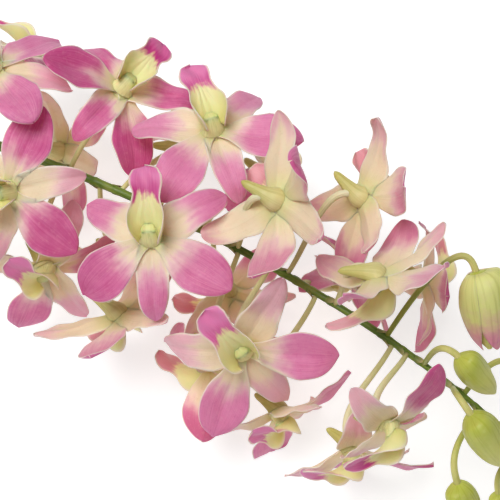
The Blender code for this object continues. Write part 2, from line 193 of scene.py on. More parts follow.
# Sepals and petals: name, turn, length, width, root share, widest share, roundness, place in front
# of the throat, lift, curl, hollow.
tepals = (
    ("upper_sepal", 0, 30, 14.5, 0.40, 0.52, 2.6, -0.5, 14, -34, 0.18),
    ("right_petal", 54, 34, 21, 0.20, 0.62, 4.6, 0.9, 12, -28, 0.12),
    ("left_petal", -54, 34, 21, 0.20, 0.62, 4.6, 0.9, 12, -28, 0.12),
    ("right_sepal", 119, 31, 15.5, 0.42, 0.44, 2.4, -0.5, 10, -38, 0.16),
    ("left_sepal", -119, 31, 15.5, 0.42, 0.44, 2.4, -0.5, 10, -38, 0.16),
)

flower = {
    "blade": 0.8,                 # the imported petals' thickness
    "waves": 5,                   # along one petal, on top of its curl
    "seatGap": 0.3,
    "footLift": 0.15,             # how much further off the stem a stalk's foot is
    "layBlend": 2.5,              # a petal bends over this height to lie along the surface
    "layStep": 0.17,
    "tepalRoot": 2.8,
    "tipSharpness": 0.68,
    "lipLength": 27.0,
    "lipLift": 46.0,
    "lipCurl": -64.0,
    "lipRoot": 3.3,
    "lipReach": 0.4,
    "lipWidth": ((0, 8), (0.2, 15.5), (0.36, 15), (0.52, 10), (0.78, 14.5), (0.93, 9.5), (1, 0)),
    "lipFold": ((0, 90), (0.2, 95), (0.36, 68), (0.52, 42), (0.78, 20), (1, 14)),
    "spur": ((0, -0.6, 4.4), (-6.6, -5.6, 3.2), (-12.0, -8.0, 1.3)),
    "stalkLean": 11.0,
    "stalkEnd": 1.0,
    "stalkRadius": 1.1,
    "stalkTurns": (0.1, 0.5),     # how much it leans along the stem, and to the bloom's upper side
    "stalkReach": (0.4, 0.38),    # how far its bends reach from its foot and from the bloom
}

# How a bloom shifts and bends to clear the rest.
roomMaking = {
    "seed": 7,
    "tries": 250,
    "sweeps": 4,
    "clear": 4.0,
    "step": 0.3,
    "most": {"stands": 14, "reach": 5, "faces": 30, "nod": 28, "roll": 26, "lift": 26, "curl": 30},
    "moved": 0.5,                 # share of a pose's values that one step changes
    "lifts": (-6, 6),             # what petals differ by before they make room, in degrees
    "curls": (-14, 14),
    "waves": (0.02, 0.06),
    "phases": (0, 6.3),
    # the points that feel for others: along and across a blade, the part of it that they cover,
    # along a stalk, round the spur, and round the column at each dorsal and front place
    "cloud": (10, 7),
    "cloudSpan": (0.12, 0.99),
    "stalkPoints": 17,
    "spurPoints": 6,
    "columnRadius": 2.6,
    "columnTurns": (-1.3, 0.0, 1.3),
    "columnPlaces": ((0.8, 3.2), (0.0, 6.0), (-1.6, 8.6)),
    "budStalkPoints": 12,
    "budPoints": (9, 10),
    "stemEvery": 3,
}


def unit(vector):
    return vector / np.linalg.norm(vector)


def readTable(table, at):
    places, values = zip(*table)
    return np.interp(at, places, values)


def traceStem():
    # points and directions every millimetre, from the cut end to the tip
    stations = np.arange(stem["cutEnd"], stem["tip"] + 0.5, 1.0)
    heading = np.radians(readTable(stem["heading"], stations))
    pitch = np.radians(readTable(stem["pitch"], stations))
    ways = np.stack(
        [np.cos(pitch) * np.cos(heading), np.cos(pitch) * np.sin(heading), np.sin(pitch)], axis=1
    )
    points = np.cumsum(ways, axis=0) - ways
    points[:, :2] -= points[np.abs(stations).argmin(), :2]
    points[:, 2] += stem["cutHeight"] - points[0, 2]
    return stations, points, ways


stemLine = traceStem()


def stemAt(station):
    # point, direction, upward and sideways directions of the stem at a station
    stations, points, ways = stemLine
    point = np.array([np.interp(station, stations, points[:, k]) for k in range(3)])
    along = unit(np.array([np.interp(station, stations, ways[:, k]) for k in range(3)]))
    side = unit(np.cross((0, 0, 1), along))
    return point, along, np.cross(along, side), side


def outward(station, angle):
    _, _, up, side = stemAt(station)
    return math.cos(math.radians(angle)) * up + math.sin(math.radians(angle)) * side


def settle(points, over=0.0):
    # bends what would sink below the surface, so that it lies along it
    z = points[..., 2]
    low = flower["blade"] / 2 + over
    blend = flower["layBlend"]
    near = np.abs(z - low) < blend
    bent = np.where(near, low + (z - low + blend) ** 2 / (4 * blend), np.maximum(z, low))
    return np.concatenate([points[..., :2], bent[..., None]], axis=-1)


def arc(share, start, turn):
    angle = start + turn * share
    return (np.sin(angle) - math.sin(start)) / turn, (math.cos(start) - np.cos(angle)) / turn


def naturalPose(draw):
    pose = {name: [0.0] for name in ("stands", "reach", "faces", "nod", "roll")}
    pose["lift"] = [draw.uniform(*roomMaking["lifts"]) for _ in tepals]
    pose["curl"] = [draw.uniform(*roomMaking["curls"]) for _ in tepals]
    waves, phases = roomMaking["waves"], roomMaking["phases"]
    pose["wave"] = [(draw.uniform(*waves), draw.uniform(*phases)) for _ in tepals]
    return pose


def nudgePose(pose, draw):
    moved = dict(pose)
    for name, most in roomMaking["most"].items():
        moved[name] = []
        for value in pose[name]:
            step = draw.gauss(0, roomMaking["step"] * most)
            value += step * (draw.random() < roomMaking["moved"])
            moved[name].append(min(most, max(-most, value)))
    return moved


def bloomAt(row, pose):
    station, stands, reach, faces, nod, roll, size = row
    stands += pose["stands"][0]
    reach += pose["reach"][0]
    faces = math.radians(faces + pose["faces"][0])
    nod = math.radians(nod + pose["nod"][0])
    roll = math.radians(roll + pose["roll"][0])
    _, along, up, side = stemAt(station)
    out = math.cos(faces) * up + math.sin(faces) * side
    front = math.cos(nod) * out + math.sin(nod) * along
    dorsal = math.cos(nod) * along - math.sin(nod) * out
    dorsal = math.cos(roll) * dorsal + math.sin(roll) * np.cross(front, dorsal)
    lean = station + flower["stalkLean"]
    return {
        "station": station,
        "stands": stands,
        "middle": stemAt(lean)[0] + reach * outward(lean, stands),
        "axes": np.stack([np.cross(dorsal, front), dorsal, front]),
        "size": size,
        "bends": list(zip(pose["lift"], pose["curl"])),
        "waves": pose["wave"],
    }


def inPlace(bloom, right, dorsal, front):
    local = np.stack(np.broadcast_arrays(right, dorsal, front), axis=-1) * bloom["size"]
    return bloom["middle"] + local @ bloom["axes"]


def tepalPoints(bloom, index, u, v, relief=0.0):
    # u runs from root to tip, v from edge to edge, and the relief stands off the blade
    _, turn, length, width, root, widest, roundness, base, lift, curl, hollow = tepals[index]
    moreLift, moreCurl = bloom["bends"][index]
    wave, phase = bloom["waves"][index]
    turn = math.radians(turn)
    start = math.radians(lift + moreLift)
    bend = math.radians(curl + moreCurl)
    out, climb = arc(u, start, bend)
    slope = start + bend * u
    swell = np.sin(math.pi / 2 * np.minimum(1, u / widest)) ** 2
    half = width / 2 * (root + (1 - root) * swell) * (1 - u**roundness) ** flower["tipSharpness"]
    raised = hollow * half * v**2 + wave * half * np.sin(flower["waves"] * u + phase) * v * u + relief
    reach = flower["tepalRoot"] + length * out - np.sin(slope) * raised
    front = base + length * climb + np.cos(slope) * raised
    across = half * v
    right = math.sin(turn) * reach + math.cos(turn) * across
    dorsal = math.cos(turn) * reach - math.sin(turn) * across
    return settle(inPlace(bloom, right, dorsal, front), flower["layStep"] * index)


def lipPoints(bloom, u, v, width, fold, relief=0.0):
    # as above, folded round into a trough, with a relief that stands off its inner side
    start = math.radians(flower["lipLift"])
    bend = math.radians(flower["lipCurl"])
    out, climb = arc(u, start, bend)
    slope = start + bend * u
    radius = width / 2 / fold
    across = radius * np.sin(fold * v) - relief * np.sin(fold * v)
    raised = radius * (1 - np.cos(fold * v)) + relief * np.cos(fold * v)
    reach = flower["lipReach"] + flower["lipLength"] * out - np.sin(slope) * raised
    front = flower["lipRoot"] + flower["lipLength"] * climb + np.cos(slope) * raised
    return settle(inPlace(bloom, across, -reach, front))


def packedLip(bloom, u, v):
    width, fold = (readTable(flower[name], u) for name in ("lipWidth", "lipFold"))
    return lipPoints(bloom, u, v, width, np.radians(fold))


def footAt(station, angle):
    point, along, _, _ = stemAt(station)
    out = outward(station, angle)
    height = readTable(stem["radius"], station) + flower["seatGap"] + flower["footLift"]
    return point + out * height, along, out


def curved(foot, leaving, arriving, end, count):
    t = np.linspace(0, 1, count)[:, None]
    return (
        (1 - t) ** 3 * foot
        + 3 * (1 - t) ** 2 * t * leaving
        + 3 * (1 - t) * t**2 * arriving
        + t**3 * end
    )


def stalkLine(bloom, count):
    foot, along, out = footAt(bloom["station"], bloom["stands"])
    front, dorsal = bloom["axes"][2], bloom["axes"][1]
    end = bloom["middle"] - front * flower["stalkEnd"]
    span = np.linalg.norm(end - foot)
    alongStem, upper = flower["stalkTurns"]
    first, last = flower["stalkReach"]
    leaving = foot + unit(out + alongStem * along) * span * first
    arriving = end - unit(front + upper * dorsal) * span * last
    return curved(foot, leaving, arriving, end, count)


def cloudOf(bloom):
    # points spread over a bloom and its stalk, close enough to feel a crossing
    rows, columns = roomMaking["cloud"]
    u, v = np.meshgrid(np.linspace(*roomMaking["cloudSpan"], rows), np.linspace(-1, 1, columns))
    sheets = [tepalPoints(bloom, k, u, v).reshape(-1, 3) for k in range(len(tepals))]
    sheets.append(packedLip(bloom, u, v).reshape(-1, 3))
    right, dorsal, _ = bloom["axes"]
    turns = np.linspace(0, 2 * math.pi, roomMaking["spurPoints"], endpoint=False)[:, None]
    circle = np.cos(turns) * right + np.sin(turns) * dorsal
    rings = [
        inPlace(bloom, 0, up, front) + radius * bloom["size"] * circle
        for up, front, radius in flower["spur"]
    ]
    radius = roomMaking["columnRadius"]
    column = [
        inPlace(bloom, math.sin(turn) * radius, place + math.cos(turn) * radius, front)
        for place, front in roomMaking["columnPlaces"]
        for turn in roomMaking["columnTurns"]
    ]
    stalk = stalkLine(bloom, roomMaking["stalkPoints"])
    return np.concatenate([*sheets, stalk[1:], *rings, column])


def budAt(row):
    station, stands, reach, length, width, swing = row
    _, along, _, _ = stemAt(station)
    out = outward(station, stands)
    base = stemAt(station + budHanging["ahead"] * reach)[0] + reach * out
    ahead, outside, down = budHanging["ways"]
    hang = unit(ahead * along + outside * out - np.array([0, swing, down]))
    low = (base + hang * length)[2] - width / 2
    base[2] += max(0, budHanging["offFloor"] - low)
    return {"station": station, "stands": stands, "base": base, "hang": hang, "size": (length, width)}


def budStalk(bud, count):
    foot, _, out = footAt(bud["station"], bud["stands"])
    end = bud["base"] + bud["hang"] * budHanging["inBud"]
    span = np.linalg.norm(end - foot)
    first, last = budHanging["stalkReach"]
    leaving = foot + unit(out + budHanging["stalkRises"] * np.array([0, 0, 1])) * span * first
    arriving = end - bud["hang"] * span * last
    return curved(foot, leaving, arriving, end, count)


def budCloud(bud):
    length, width = bud["size"]
    side = unit(np.cross(bud["hang"], (0, 0, 1)))
    other = np.cross(bud["hang"], side)
    rows, columns = roomMaking["budPoints"]
    ring = [
        bud["base"] + bud["hang"] * length * share
        + (side * math.cos(turn) + other * math.sin(turn)) * readTable(budOutline, share) * width / 2
        for share in np.linspace(0.05, 1, rows)
        for turn in np.linspace(0, 2 * math.pi, columns, endpoint=False)
    ]
    return np.concatenate([budStalk(bud, roomMaking["budStalkPoints"])[1:], ring])


def treeOf(points):
    tree = kdtree.KDTree(len(points))
    for k, point in enumerate(points):
        tree.insert(point, k)
    tree.balance()
    return tree


def crowding(tree, points, enough):
    total = 0.0
    for point in points:
        total += max(0.0, roomMaking["clear"] - tree.find(point)[2]) ** 2
        if total > enough:
            return total
    return total


def placeFlowers():
    # each bloom shifts and bends in small steps until it clears the rest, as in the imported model
    draw = random.Random(roomMaking["seed"])
    buds = [budAt(row) for row in budPlaces]
    fixed = [stemLine[1][:: roomMaking["stemEvery"]], *[budCloud(bud) for bud in buds]]
    poses = [naturalPose(draw) for _ in bloomPlaces]
    clouds = {}
    for _ in range(roomMaking["sweeps"]):
        for number, row in enumerate(bloomPlaces):
            others = [cloud for other, cloud in clouds.items() if other != number]
            tree = treeOf(np.concatenate([*fixed, *others]))
            least = crowding(tree, cloudOf(bloomAt(row, poses[number])), math.inf)
            for _ in range(roomMaking["tries"]):
                if least == 0:
                    break
                trial = nudgePose(poses[number], draw)
                crowded = crowding(tree, cloudOf(bloomAt(row, trial)), least)
                if crowded < least:
                    poses[number], least = trial, crowded
            clouds[number] = cloudOf(bloomAt(row, poses[number]))
    return [bloomAt(row, pose) for row, pose in zip(bloomPlaces, poses)], buds


blooms, buds = placeFlowers()
print("blooms and buds placed:", len(blooms), len(buds))


# Small tools for the pieces below.
def smoothTable(table, at):
    # as readTable, with a rounded change at each place
    places, values = (np.array(row, float) for row in zip(*table))
    slopes = np.gradient(values, places)
    at = np.clip(at, places[0], places[-1])
    k = np.clip(np.searchsorted(places, at, side="right") - 1, 0, len(places) - 2)
    span = places[k + 1] - places[k]
    t = (at - places[k]) / span
    return (
        (2 * t**3 - 3 * t**2 + 1) * values[k]
        + (t**3 - 2 * t**2 + t) * span * slopes[k]
        + (3 * t**2 - 2 * t**3) * values[k + 1]
        + (t**3 - t**2) * span * slopes[k + 1]
    )


def rampUp(values, low, high):
    t = np.clip((values - low) / (high - low), 0, 1)
    return t * t * (3 - 2 * t)


def toMetres(points):
    return (np.asarray(points) - (*stem["origin"], 0)) * 0.001


def only(*pieces):
    bpy.ops.object.select_all(action="DESELECT")
    for piece in pieces:
        piece.select_set(True)
    bpy.context.view_layer.objects.active = pieces[0]


def copyOf(piece, name):
    made = piece.copy()
    made.data = piece.data.copy()
    made.name = made.data.name = name
    bpy.context.scene.collection.objects.link(made)
    return made


def getPoints(piece):
    points = np.empty(len(piece.data.vertices) * 3)
    piece.data.vertices.foreach_get("co", points)
    return points.reshape(-1, 3)


def setPoints(piece, points):
    piece.data.vertices.foreach_set("co", toMetres(points).astype(np.float32).ravel())
    piece.data.update()


def setShare(piece, name, values):
    # one number for each point, which a material reads by this name
    layer = piece.data.attributes.get(name) or piece.data.attributes.new(name, "FLOAT", "POINT")
    layer.data.foreach_set("value", np.broadcast_to(values, len(piece.data.vertices)).astype(np.float32))


def joined(name, pieces):
    only(*pieces)
    bpy.ops.object.join()
    piece = bpy.context.object
    piece.name = piece.data.name = name
    return piece


# A flat blade, one unit long and one wide each way, that each petal, sepal, lip and bract is bent from.
bladeMake = {
    "cuts": {"tepal": (16, 30), "lip": (30, 40), "bract": (8, 8)},
    "edgeThins": 5,               # how close to its edges it starts to thin
    "tipThins": 8,
}


def modelBlade(kind):
    across, along = bladeMake["cuts"][kind]
    bpy.ops.object.select_all(action="DESELECT")
    bpy.ops.mesh.primitive_grid_add(x_subdivisions=across, y_subdivisions=along, size=2)
    blade = bpy.context.object
    blade.name = kind + "Blade"
    mesh = blade.data
    mesh.uv_layers[0].name = "petal"
    for corner, vertex in zip(mesh.uv_layers["petal"].data, [loop.vertex_index for loop in mesh.loops]):
        x, y, _ = mesh.vertices[vertex].co
        corner.uv = (x / 2 + 0.5, math.sin(math.pi / 4 * (y + 1)))
    edge = blade.vertex_groups.new(name="body")
    for vertex in mesh.vertices:
        x, y, _ = vertex.co
        thin = max(abs(x) ** bladeMake["edgeThins"], max(0, y) ** bladeMake["tipThins"])
        edge.add([vertex.index], 1 - thin, "REPLACE")
    bpy.ops.object.mode_set(mode="EDIT")
    bpy.ops.mesh.select_all(action="DESELECT")
    bpy.ops.object.mode_set(mode="OBJECT")
    for vertex in mesh.vertices:
        vertex.select = vertex.co.y > 0.999
    bpy.ops.object.mode_set(mode="EDIT")
    bpy.ops.mesh.merge(type="CENTER")
    bpy.ops.object.mode_set(mode="OBJECT")
    return blade


# A straight hose, one unit long and round, for stalks, throats, columns, buds, sheaths and the stem.
def modelHose(name, sides, rings, ends="NGON"):
    bpy.ops.object.select_all(action="DESELECT")
    bpy.ops.mesh.primitive_circle_add(vertices=sides, radius=1, fill_type=ends)
    hose = bpy.context.object
    hose.name = name
    bpy.ops.object.mode_set(mode="EDIT")
    bpy.ops.mesh.select_all(action="SELECT")
    for _ in range(rings):
        bpy.ops.mesh.extrude_region_move(TRANSFORM_OT_translate={"value": (0, 0, 1 / rings)})
    bpy.ops.mesh.select_all(action="SELECT")
    bpy.ops.mesh.normals_make_consistent(inside=False)
    bpy.ops.object.mode_set(mode="OBJECT")
    bpy.ops.object.shade_smooth()
    return hose


def layHose(piece, line, radii, facing=(0.31, 0.17, 0.93), flatten=1.0):
    # line is points in millimetres, facing is the way of the hose's own X, flatten squeezes its Y
    shares = np.linspace(0, 1, len(line))
    ways = np.gradient(line, axis=0)
    ways /= np.linalg.norm(ways, axis=1)[:, None]
    side = np.array(facing)
    sides = []
    for way in ways:
        side = unit(side - way * (side @ way))
        sides.append(side)
    sides = np.array(sides)
    others = np.cross(ways, sides)
    points = getPoints(piece)
    at = points[:, 2]

    def follow(values):
        return np.stack([np.interp(at, shares, values[:, k]) for k in range(3)], axis=1)

    radius = np.interp(at, shares, radii)[:, None]
    middle, first, second = follow(line), follow(sides), follow(others)
    setShare(piece, "along", at)
    setShare(piece, "sideways", points[:, 0])
    setShare(piece, "upwards", points[:, 1])
    around = points[:, :1] * first + points[:, 1:2] * flatten * second
    setPoints(piece, middle + radius * around)


def throughPoints(places, count):
    # a smooth line through places, each a row of numbers
    places = np.asarray(places, float)
    shares = np.linspace(0, 1, len(places))
    at = np.linspace(0, 1, count)
    rows = [smoothTable(list(zip(shares, values)), at) for values in places.T]
    return np.stack(rows, axis=1)


def thicken(piece, millimetres, isPetal=False):
    # a petal or lip thins towards its edges, and has its own finish on the back and on the rim
    solid = piece.modifiers.new("thickness", "SOLIDIFY")
    solid.thickness = millimetres * 0.001
    solid.offset = 0
    if isPetal:
        solid.vertex_group = "body"
        solid.thickness_vertex_group = bloomMake["marginThickness"]
        solid.material_offset = 1
        solid.material_offset_rim = 2
    only(piece)
    bpy.ops.object.modifier_apply(modifier=solid.name)
    bpy.ops.object.shade_smooth()


def hold(piece, node):
    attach(piece, "root")
    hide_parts(node)


# Finishes. A finish is a material with its node tree and its shader.
tissue = {
    "specular": 0.35,
    "sheenRoughness": 0.4,
    "glowColour": (1.0, 0.55, 0.65),
    "glowDepth": 0.0025,          # metres that light goes in
    "drawStep": 37.0,             # how far apart the streaks of two blades lie in the noise
}


def newFinish(name, roughness, sheen=0.0, glow=0.0):
    finish = bpy.data.materials.new(name)
    finish.use_nodes = True
    tree = finish.node_tree
    shader = tree.nodes["Principled BSDF"]
    shader.inputs["Roughness"].default_value = roughness
    shader.inputs["Specular IOR Level"].default_value = tissue["specular"]
    shader.inputs["Sheen Weight"].default_value = sheen
    shader.inputs["Sheen Roughness"].default_value = tissue["sheenRoughness"]
    shader.inputs["Subsurface Weight"].default_value = glow
    shader.inputs["Subsurface Radius"].default_value = tissue["glowColour"]
    shader.inputs["Subsurface Scale"].default_value = tissue["glowDepth"]
    return finish, tree, shader


def put(tree, kind, inputs=None, **settings):
    node = tree.nodes.new("ShaderNode" + kind)
    for name, value in settings.items():
        setattr(node, name, value)
    for name, value in (inputs or {}).items():
        if isinstance(value, bpy.types.NodeSocket):
            tree.links.new(value, node.inputs[name])
        else:
            node.inputs[name].default_value = value
    return node


def calc(tree, operation, first, second=0.0, third=0.0):
    return put(tree, "Math", {0: first, 1: second, 2: third}, operation=operation).outputs[0]


def rise(tree, value, low, high, bottom=0.0, top=1.0):
    # a soft step from bottom, where the value is low, to top, where it is high
    inputs = {"Value": value, "From Min": low, "From Max": high, "To Min": bottom, "To Max": top}
    return put(tree, "MapRange", inputs, interpolation_type="SMOOTHSTEP").outputs[0]


def mixColour(tree, share, first, second):
    return put(tree, "Mix", {0: share, 6: first, 7: second}, data_type="RGBA").outputs[2]


def noise(tree, vector, scale, detail=2.0, roughness=0.5):
    inputs = {"Vector": vector, "Scale": scale, "Detail": detail, "Roughness": roughness}
    return put(tree, "TexNoise", inputs).outputs["Fac"]


def shareOf(tree, name):
    return put(tree, "Attribute", attribute_name=name).outputs["Fac"]


def objectPlace(tree):
    return put(tree, "TexCoord").outputs["Object"]


def setBump(tree, shader, height, strength, distance):
    bump = put(tree, "Bump", {"Height": height, "Strength": strength, "Distance": distance})
    tree.links.new(bump.outputs[0], shader.inputs["Normal"])


def setColour(tree, shader, colour):
    tree.links.new(colour, shader.inputs["Base Color"])


def bladeWays(tree, streaksAcross, streaksAlong):
    # along and across shares of a blade, and streaks that run from its root to its tip
    place = put(tree, "UVMap", uv_map="petal").outputs[0]
    split = put(tree, "SeparateXYZ", {0: place})
    across, along = split.outputs[0], split.outputs[1]
    fromMiddle = calc(tree, "ABSOLUTE", calc(tree, "MULTIPLY_ADD", across, 2.0, -1.0))
    drawn = calc(tree, "MULTIPLY", shareOf(tree, "draw"), tissue["drawStep"])

    def streaks(finer, detail):
        vector = put(tree, "CombineXYZ", {
            0: calc(tree, "MULTIPLY", across, streaksAcross * finer),
            1: calc(tree, "MULTIPLY", along, streaksAlong),
            2: drawn,
        }).outputs[0]
        return noise(tree, vector, 1.0, detail)

    return along, fromMiddle, streaks


petalLook = {
    "front": {
        "cream": (0.85, 0.665, 0.46, 1),
        "veil": (0.84, 0.55, 0.53, 1),
        "light": (0.74, 0.25, 0.43, 1),
        "deep": (0.50, 0.05, 0.22, 1),
        "pale": (0.88, 0.72, 0.60, 1),
        "root": (0.74, 0.66, 0.28, 1),
        "rootRise": (0.15, 0.02),
        "shift": 0.0,
        "strength": 1.0,
    },
    "back": {
        "cream": (0.86, 0.665, 0.46, 1),
        "veil": (0.85, 0.57, 0.52, 1),
        "light": (0.74, 0.31, 0.43, 1),
        "deep": (0.56, 0.11, 0.27, 1),
        "pale": (0.84, 0.69, 0.53, 1),
        "root": (0.72, 0.66, 0.31, 1),
        "rootRise": (0.36, 0.02),
        "shift": 0.14,
        "strength": 0.82,
    },
}
# A value whose name ends in Rise says where a soft step begins and ends and, where it has four
# numbers, from how much to how much.
petalPattern = {
    "roughness": 0.48,
    "roughRise": (0.3, 0.7, 0.42, 0.56),
    "sheen": 0.12,
    "glow": 0.5,
    "streaks": (5.0, 1.6),        # how many run across a blade and along it
    "veins": 7.0,                 # the fine ones, as a multiple of them
    "blotches": 160.0,            # per metre, as the next two
    "mottles": 620.0,
    "cells": 2600.0,
    "wanders": (0.34, 0.22),      # how far streaks and blotches shift the border of the pink
    "border": 0.28,
    "blushRise": (0.0, 0.5),
    "veilRise": (0.0, 0.45),
    "pinkRise": (0.15, 0.95),
    "stripe": 0.5,                # how much some blades are pinker at their edges, others in the middle
    "stripeMiddle": (0.4, 0.45),
    "stripeRise": (0.1, 0.4),
    "deepens": (0.6, 0.25, 0.5),  # the pink, by the veins, towards the tip and by the blotches
    "palest": 0.67,
    "freckle": (0.66, 0.50, 0.30, 1),
    "paleRise": (0.50, 0.80, 0.0, 0.20),
    "darkRise": (0.46, 0.26, 0.0, 0.30),
    "marginRise": (1.0, 0.2, 0.0, 0.85),
    "bump": (0.5, 0.0004),
    "cellBump": 0.25,
}


def petalFinish(side):
    look, pattern = petalLook[side], petalPattern
    name = "petal" + side.capitalize()
    finish, tree, shader = newFinish(name, pattern["roughness"], pattern["sheen"], pattern["glow"])
    along, fromMiddle, streaks = bladeWays(tree, *pattern["streaks"])
    broad = streaks(1.0, 2.0)
    fine = streaks(pattern["veins"], 2.0)
    blotch = noise(tree, objectPlace(tree), pattern["blotches"], 2.0)
    byStreaks, byBlotches = pattern["wanders"]
    wander = calc(tree, "MULTIPLY_ADD", broad, byStreaks, along)
    wander = calc(tree, "MULTIPLY_ADD", blotch, byBlotches, wander)
    wander = calc(tree, "SUBTRACT", wander, pattern["border"] + look["shift"])
    middleDraw, middleAcross = pattern["stripeMiddle"]
    stripe = calc(tree, "SUBTRACT", shareOf(tree, "draw"), middleDraw)
    stripe = calc(tree, "MULTIPLY", stripe, pattern["stripe"])
    stripe = calc(tree, "MULTIPLY", stripe, calc(tree, "SUBTRACT", fromMiddle, middleAcross))
    wander = calc(tree, "MULTIPLY_ADD", stripe, rise(tree, along, *pattern["stripeRise"]), wander)
    blushed = calc(tree, "SUBTRACT", wander, shareOf(tree, "start"))
    blushed = rise(tree, blushed, *pattern["blushRise"])
    most = calc(tree, "MULTIPLY", shareOf(tree, "flush"), look["strength"])
    blushed = calc(tree, "MULTIPLY", blushed, most)
    depth = shareOf(tree, "depth")
    for value, share in zip((fine, along, blotch), pattern["deepens"]):
        depth = calc(tree, "MULTIPLY_ADD", value, share, depth)
    depth = rise(tree, calc(tree, "SUBTRACT", depth, pattern["palest"]), 0.0, 1.0)
    pink = mixColour(tree, depth, look["light"], look["deep"])
    colour = mixColour(tree, rise(tree, blushed, *pattern["veilRise"]), look["cream"], look["veil"])
    colour = mixColour(tree, rise(tree, blushed, *pattern["pinkRise"]), colour, pink)
    colour = mixColour(tree, rise(tree, along, *look["rootRise"]), colour, look["root"])
    mottle = noise(tree, objectPlace(tree), pattern["mottles"], 4.0, 0.65)
    faint = mixColour(tree, blushed, look["pale"], look["veil"])
    colour = mixColour(tree, rise(tree, mottle, *pattern["paleRise"]), colour, faint)
    dark = mixColour(tree, blushed, pattern["freckle"], look["deep"])
    colour = mixColour(tree, rise(tree, mottle, *pattern["darkRise"]), colour, dark)
    toEdge = calc(tree, "DIVIDE", calc(tree, "SUBTRACT", 1.0, fromMiddle), shareOf(tree, "margin"))
    edge = rise(tree, toEdge, *pattern["marginRise"])
    setColour(tree, shader, mixColour(tree, edge, colour, look["pale"]))
    tree.links.new(rise(tree, fine, *pattern["roughRise"]), shader.inputs["Roughness"])
    cells = noise(tree, objectPlace(tree), pattern["cells"], 1.0)
    setBump(tree, shader, calc(tree, "MULTIPLY_ADD", cells, pattern["cellBump"], fine), *pattern["bump"])
    return finish


rimLook = {
    "roughness": 0.5,
    "glow": 0.3,
    "blotches": 300.0,
    "colours": ((0.88, 0.72, 0.62, 1), (0.83, 0.63, 0.53, 1)),
    "bump": (0.1, 0.0003),
}


def rimFinish():
    finish, tree, shader = newFinish("petalRim", rimLook["roughness"], glow=rimLook["glow"])
    shade = noise(tree, objectPlace(tree), rimLook["blotches"])
    setColour(tree, shader, mixColour(tree, shade, *rimLook["colours"]))
    setBump(tree, shader, shade, *rimLook["bump"])
    return finish


lipLook = {
    # painted shade: the first colour is a darker olive deep in the lip's throat, which gives way to the
    # throat's own colour a little way out
    "paintedThroatShade": (0.70, 0.66, 0.25, 1),
    "throat": (0.82, 0.77, 0.35, 1),
    "cream": (0.85, 0.77, 0.40, 1),
    "light": (0.74, 0.23, 0.44, 1),
    "deep": (0.50, 0.04, 0.23, 1),
    "pale": (0.88, 0.74, 0.56, 1),
    "roughness": 0.45,
    "sheen": 0.08,
    "glow": 0.6,
    "streaks": (9.0, 2.2),
    "veins": 5.0,
    "blotches": 420.0,
    "wanders": (0.28, 0.16),      # how far streaks and blotches shift the border of the pink
    "dome": 0.16,                 # how much nearer the root it lies at the edges
    "pinkRise": (0.76, 0.90),
    "paintedShadeRise": (0.02, 0.24),
    "creamRise": (0.16, 0.55),
    "veinDepth": 0.6,
    "lobeRise": (0.62, 0.86, 0.3, -0.15),   # the pink is deeper behind the lobe than on it
    "deepRise": (0.3, 1.2),
    "margin": (0.84, 0.14, 0.85), # where the pale margin begins, how soft it is and how strong
    "bump": (0.3, 0.0005),
}


def lipFinish(name, strength):
    look = lipLook
    finish, tree, shader = newFinish(name, look["roughness"], look["sheen"], look["glow"])
    along, fromMiddle, streaks = bladeWays(tree, *look["streaks"])
    ragged = streaks(1.0, 4.0)
    fine = streaks(look["veins"], 3.0)
    blotch = noise(tree, objectPlace(tree), look["blotches"], 3.0)
    byStreaks, byBlotches = look["wanders"]
    wander = calc(tree, "MULTIPLY_ADD", ragged, byStreaks, along)
    wander = calc(tree, "MULTIPLY_ADD", blotch, byBlotches, wander)
    dome = calc(tree, "MULTIPLY", calc(tree, "POWER", fromMiddle, 2.0), look["dome"])
    wander = calc(tree, "ADD", wander, dome)
    pinked = calc(tree, "MULTIPLY", rise(tree, wander, *look["pinkRise"]), strength)
    # painted shade deep in the throat, fading into the throat's own colour
    base = mixColour(tree, rise(tree, along, *look["paintedShadeRise"]), look["paintedThroatShade"], look["throat"])
    base = mixColour(tree, rise(tree, along, *look["creamRise"]), base, look["cream"])
    depth = calc(tree, "MULTIPLY_ADD", fine, look["veinDepth"], shareOf(tree, "depth"))
    depth = calc(tree, "ADD", depth, rise(tree, along, *look["lobeRise"]))
    pink = mixColour(tree, rise(tree, depth, *look["deepRise"]), look["light"], look["deep"])
    colour = mixColour(tree, pinked, base, pink)
    start, soft, strong = look["margin"]
    edge = rise(tree, calc(tree, "SUBTRACT", fromMiddle, start), 0.0, soft, top=strong)
    setColour(tree, shader, mixColour(tree, edge, colour, look["pale"]))
    setBump(tree, shader, fine, *look["bump"])
    return finish


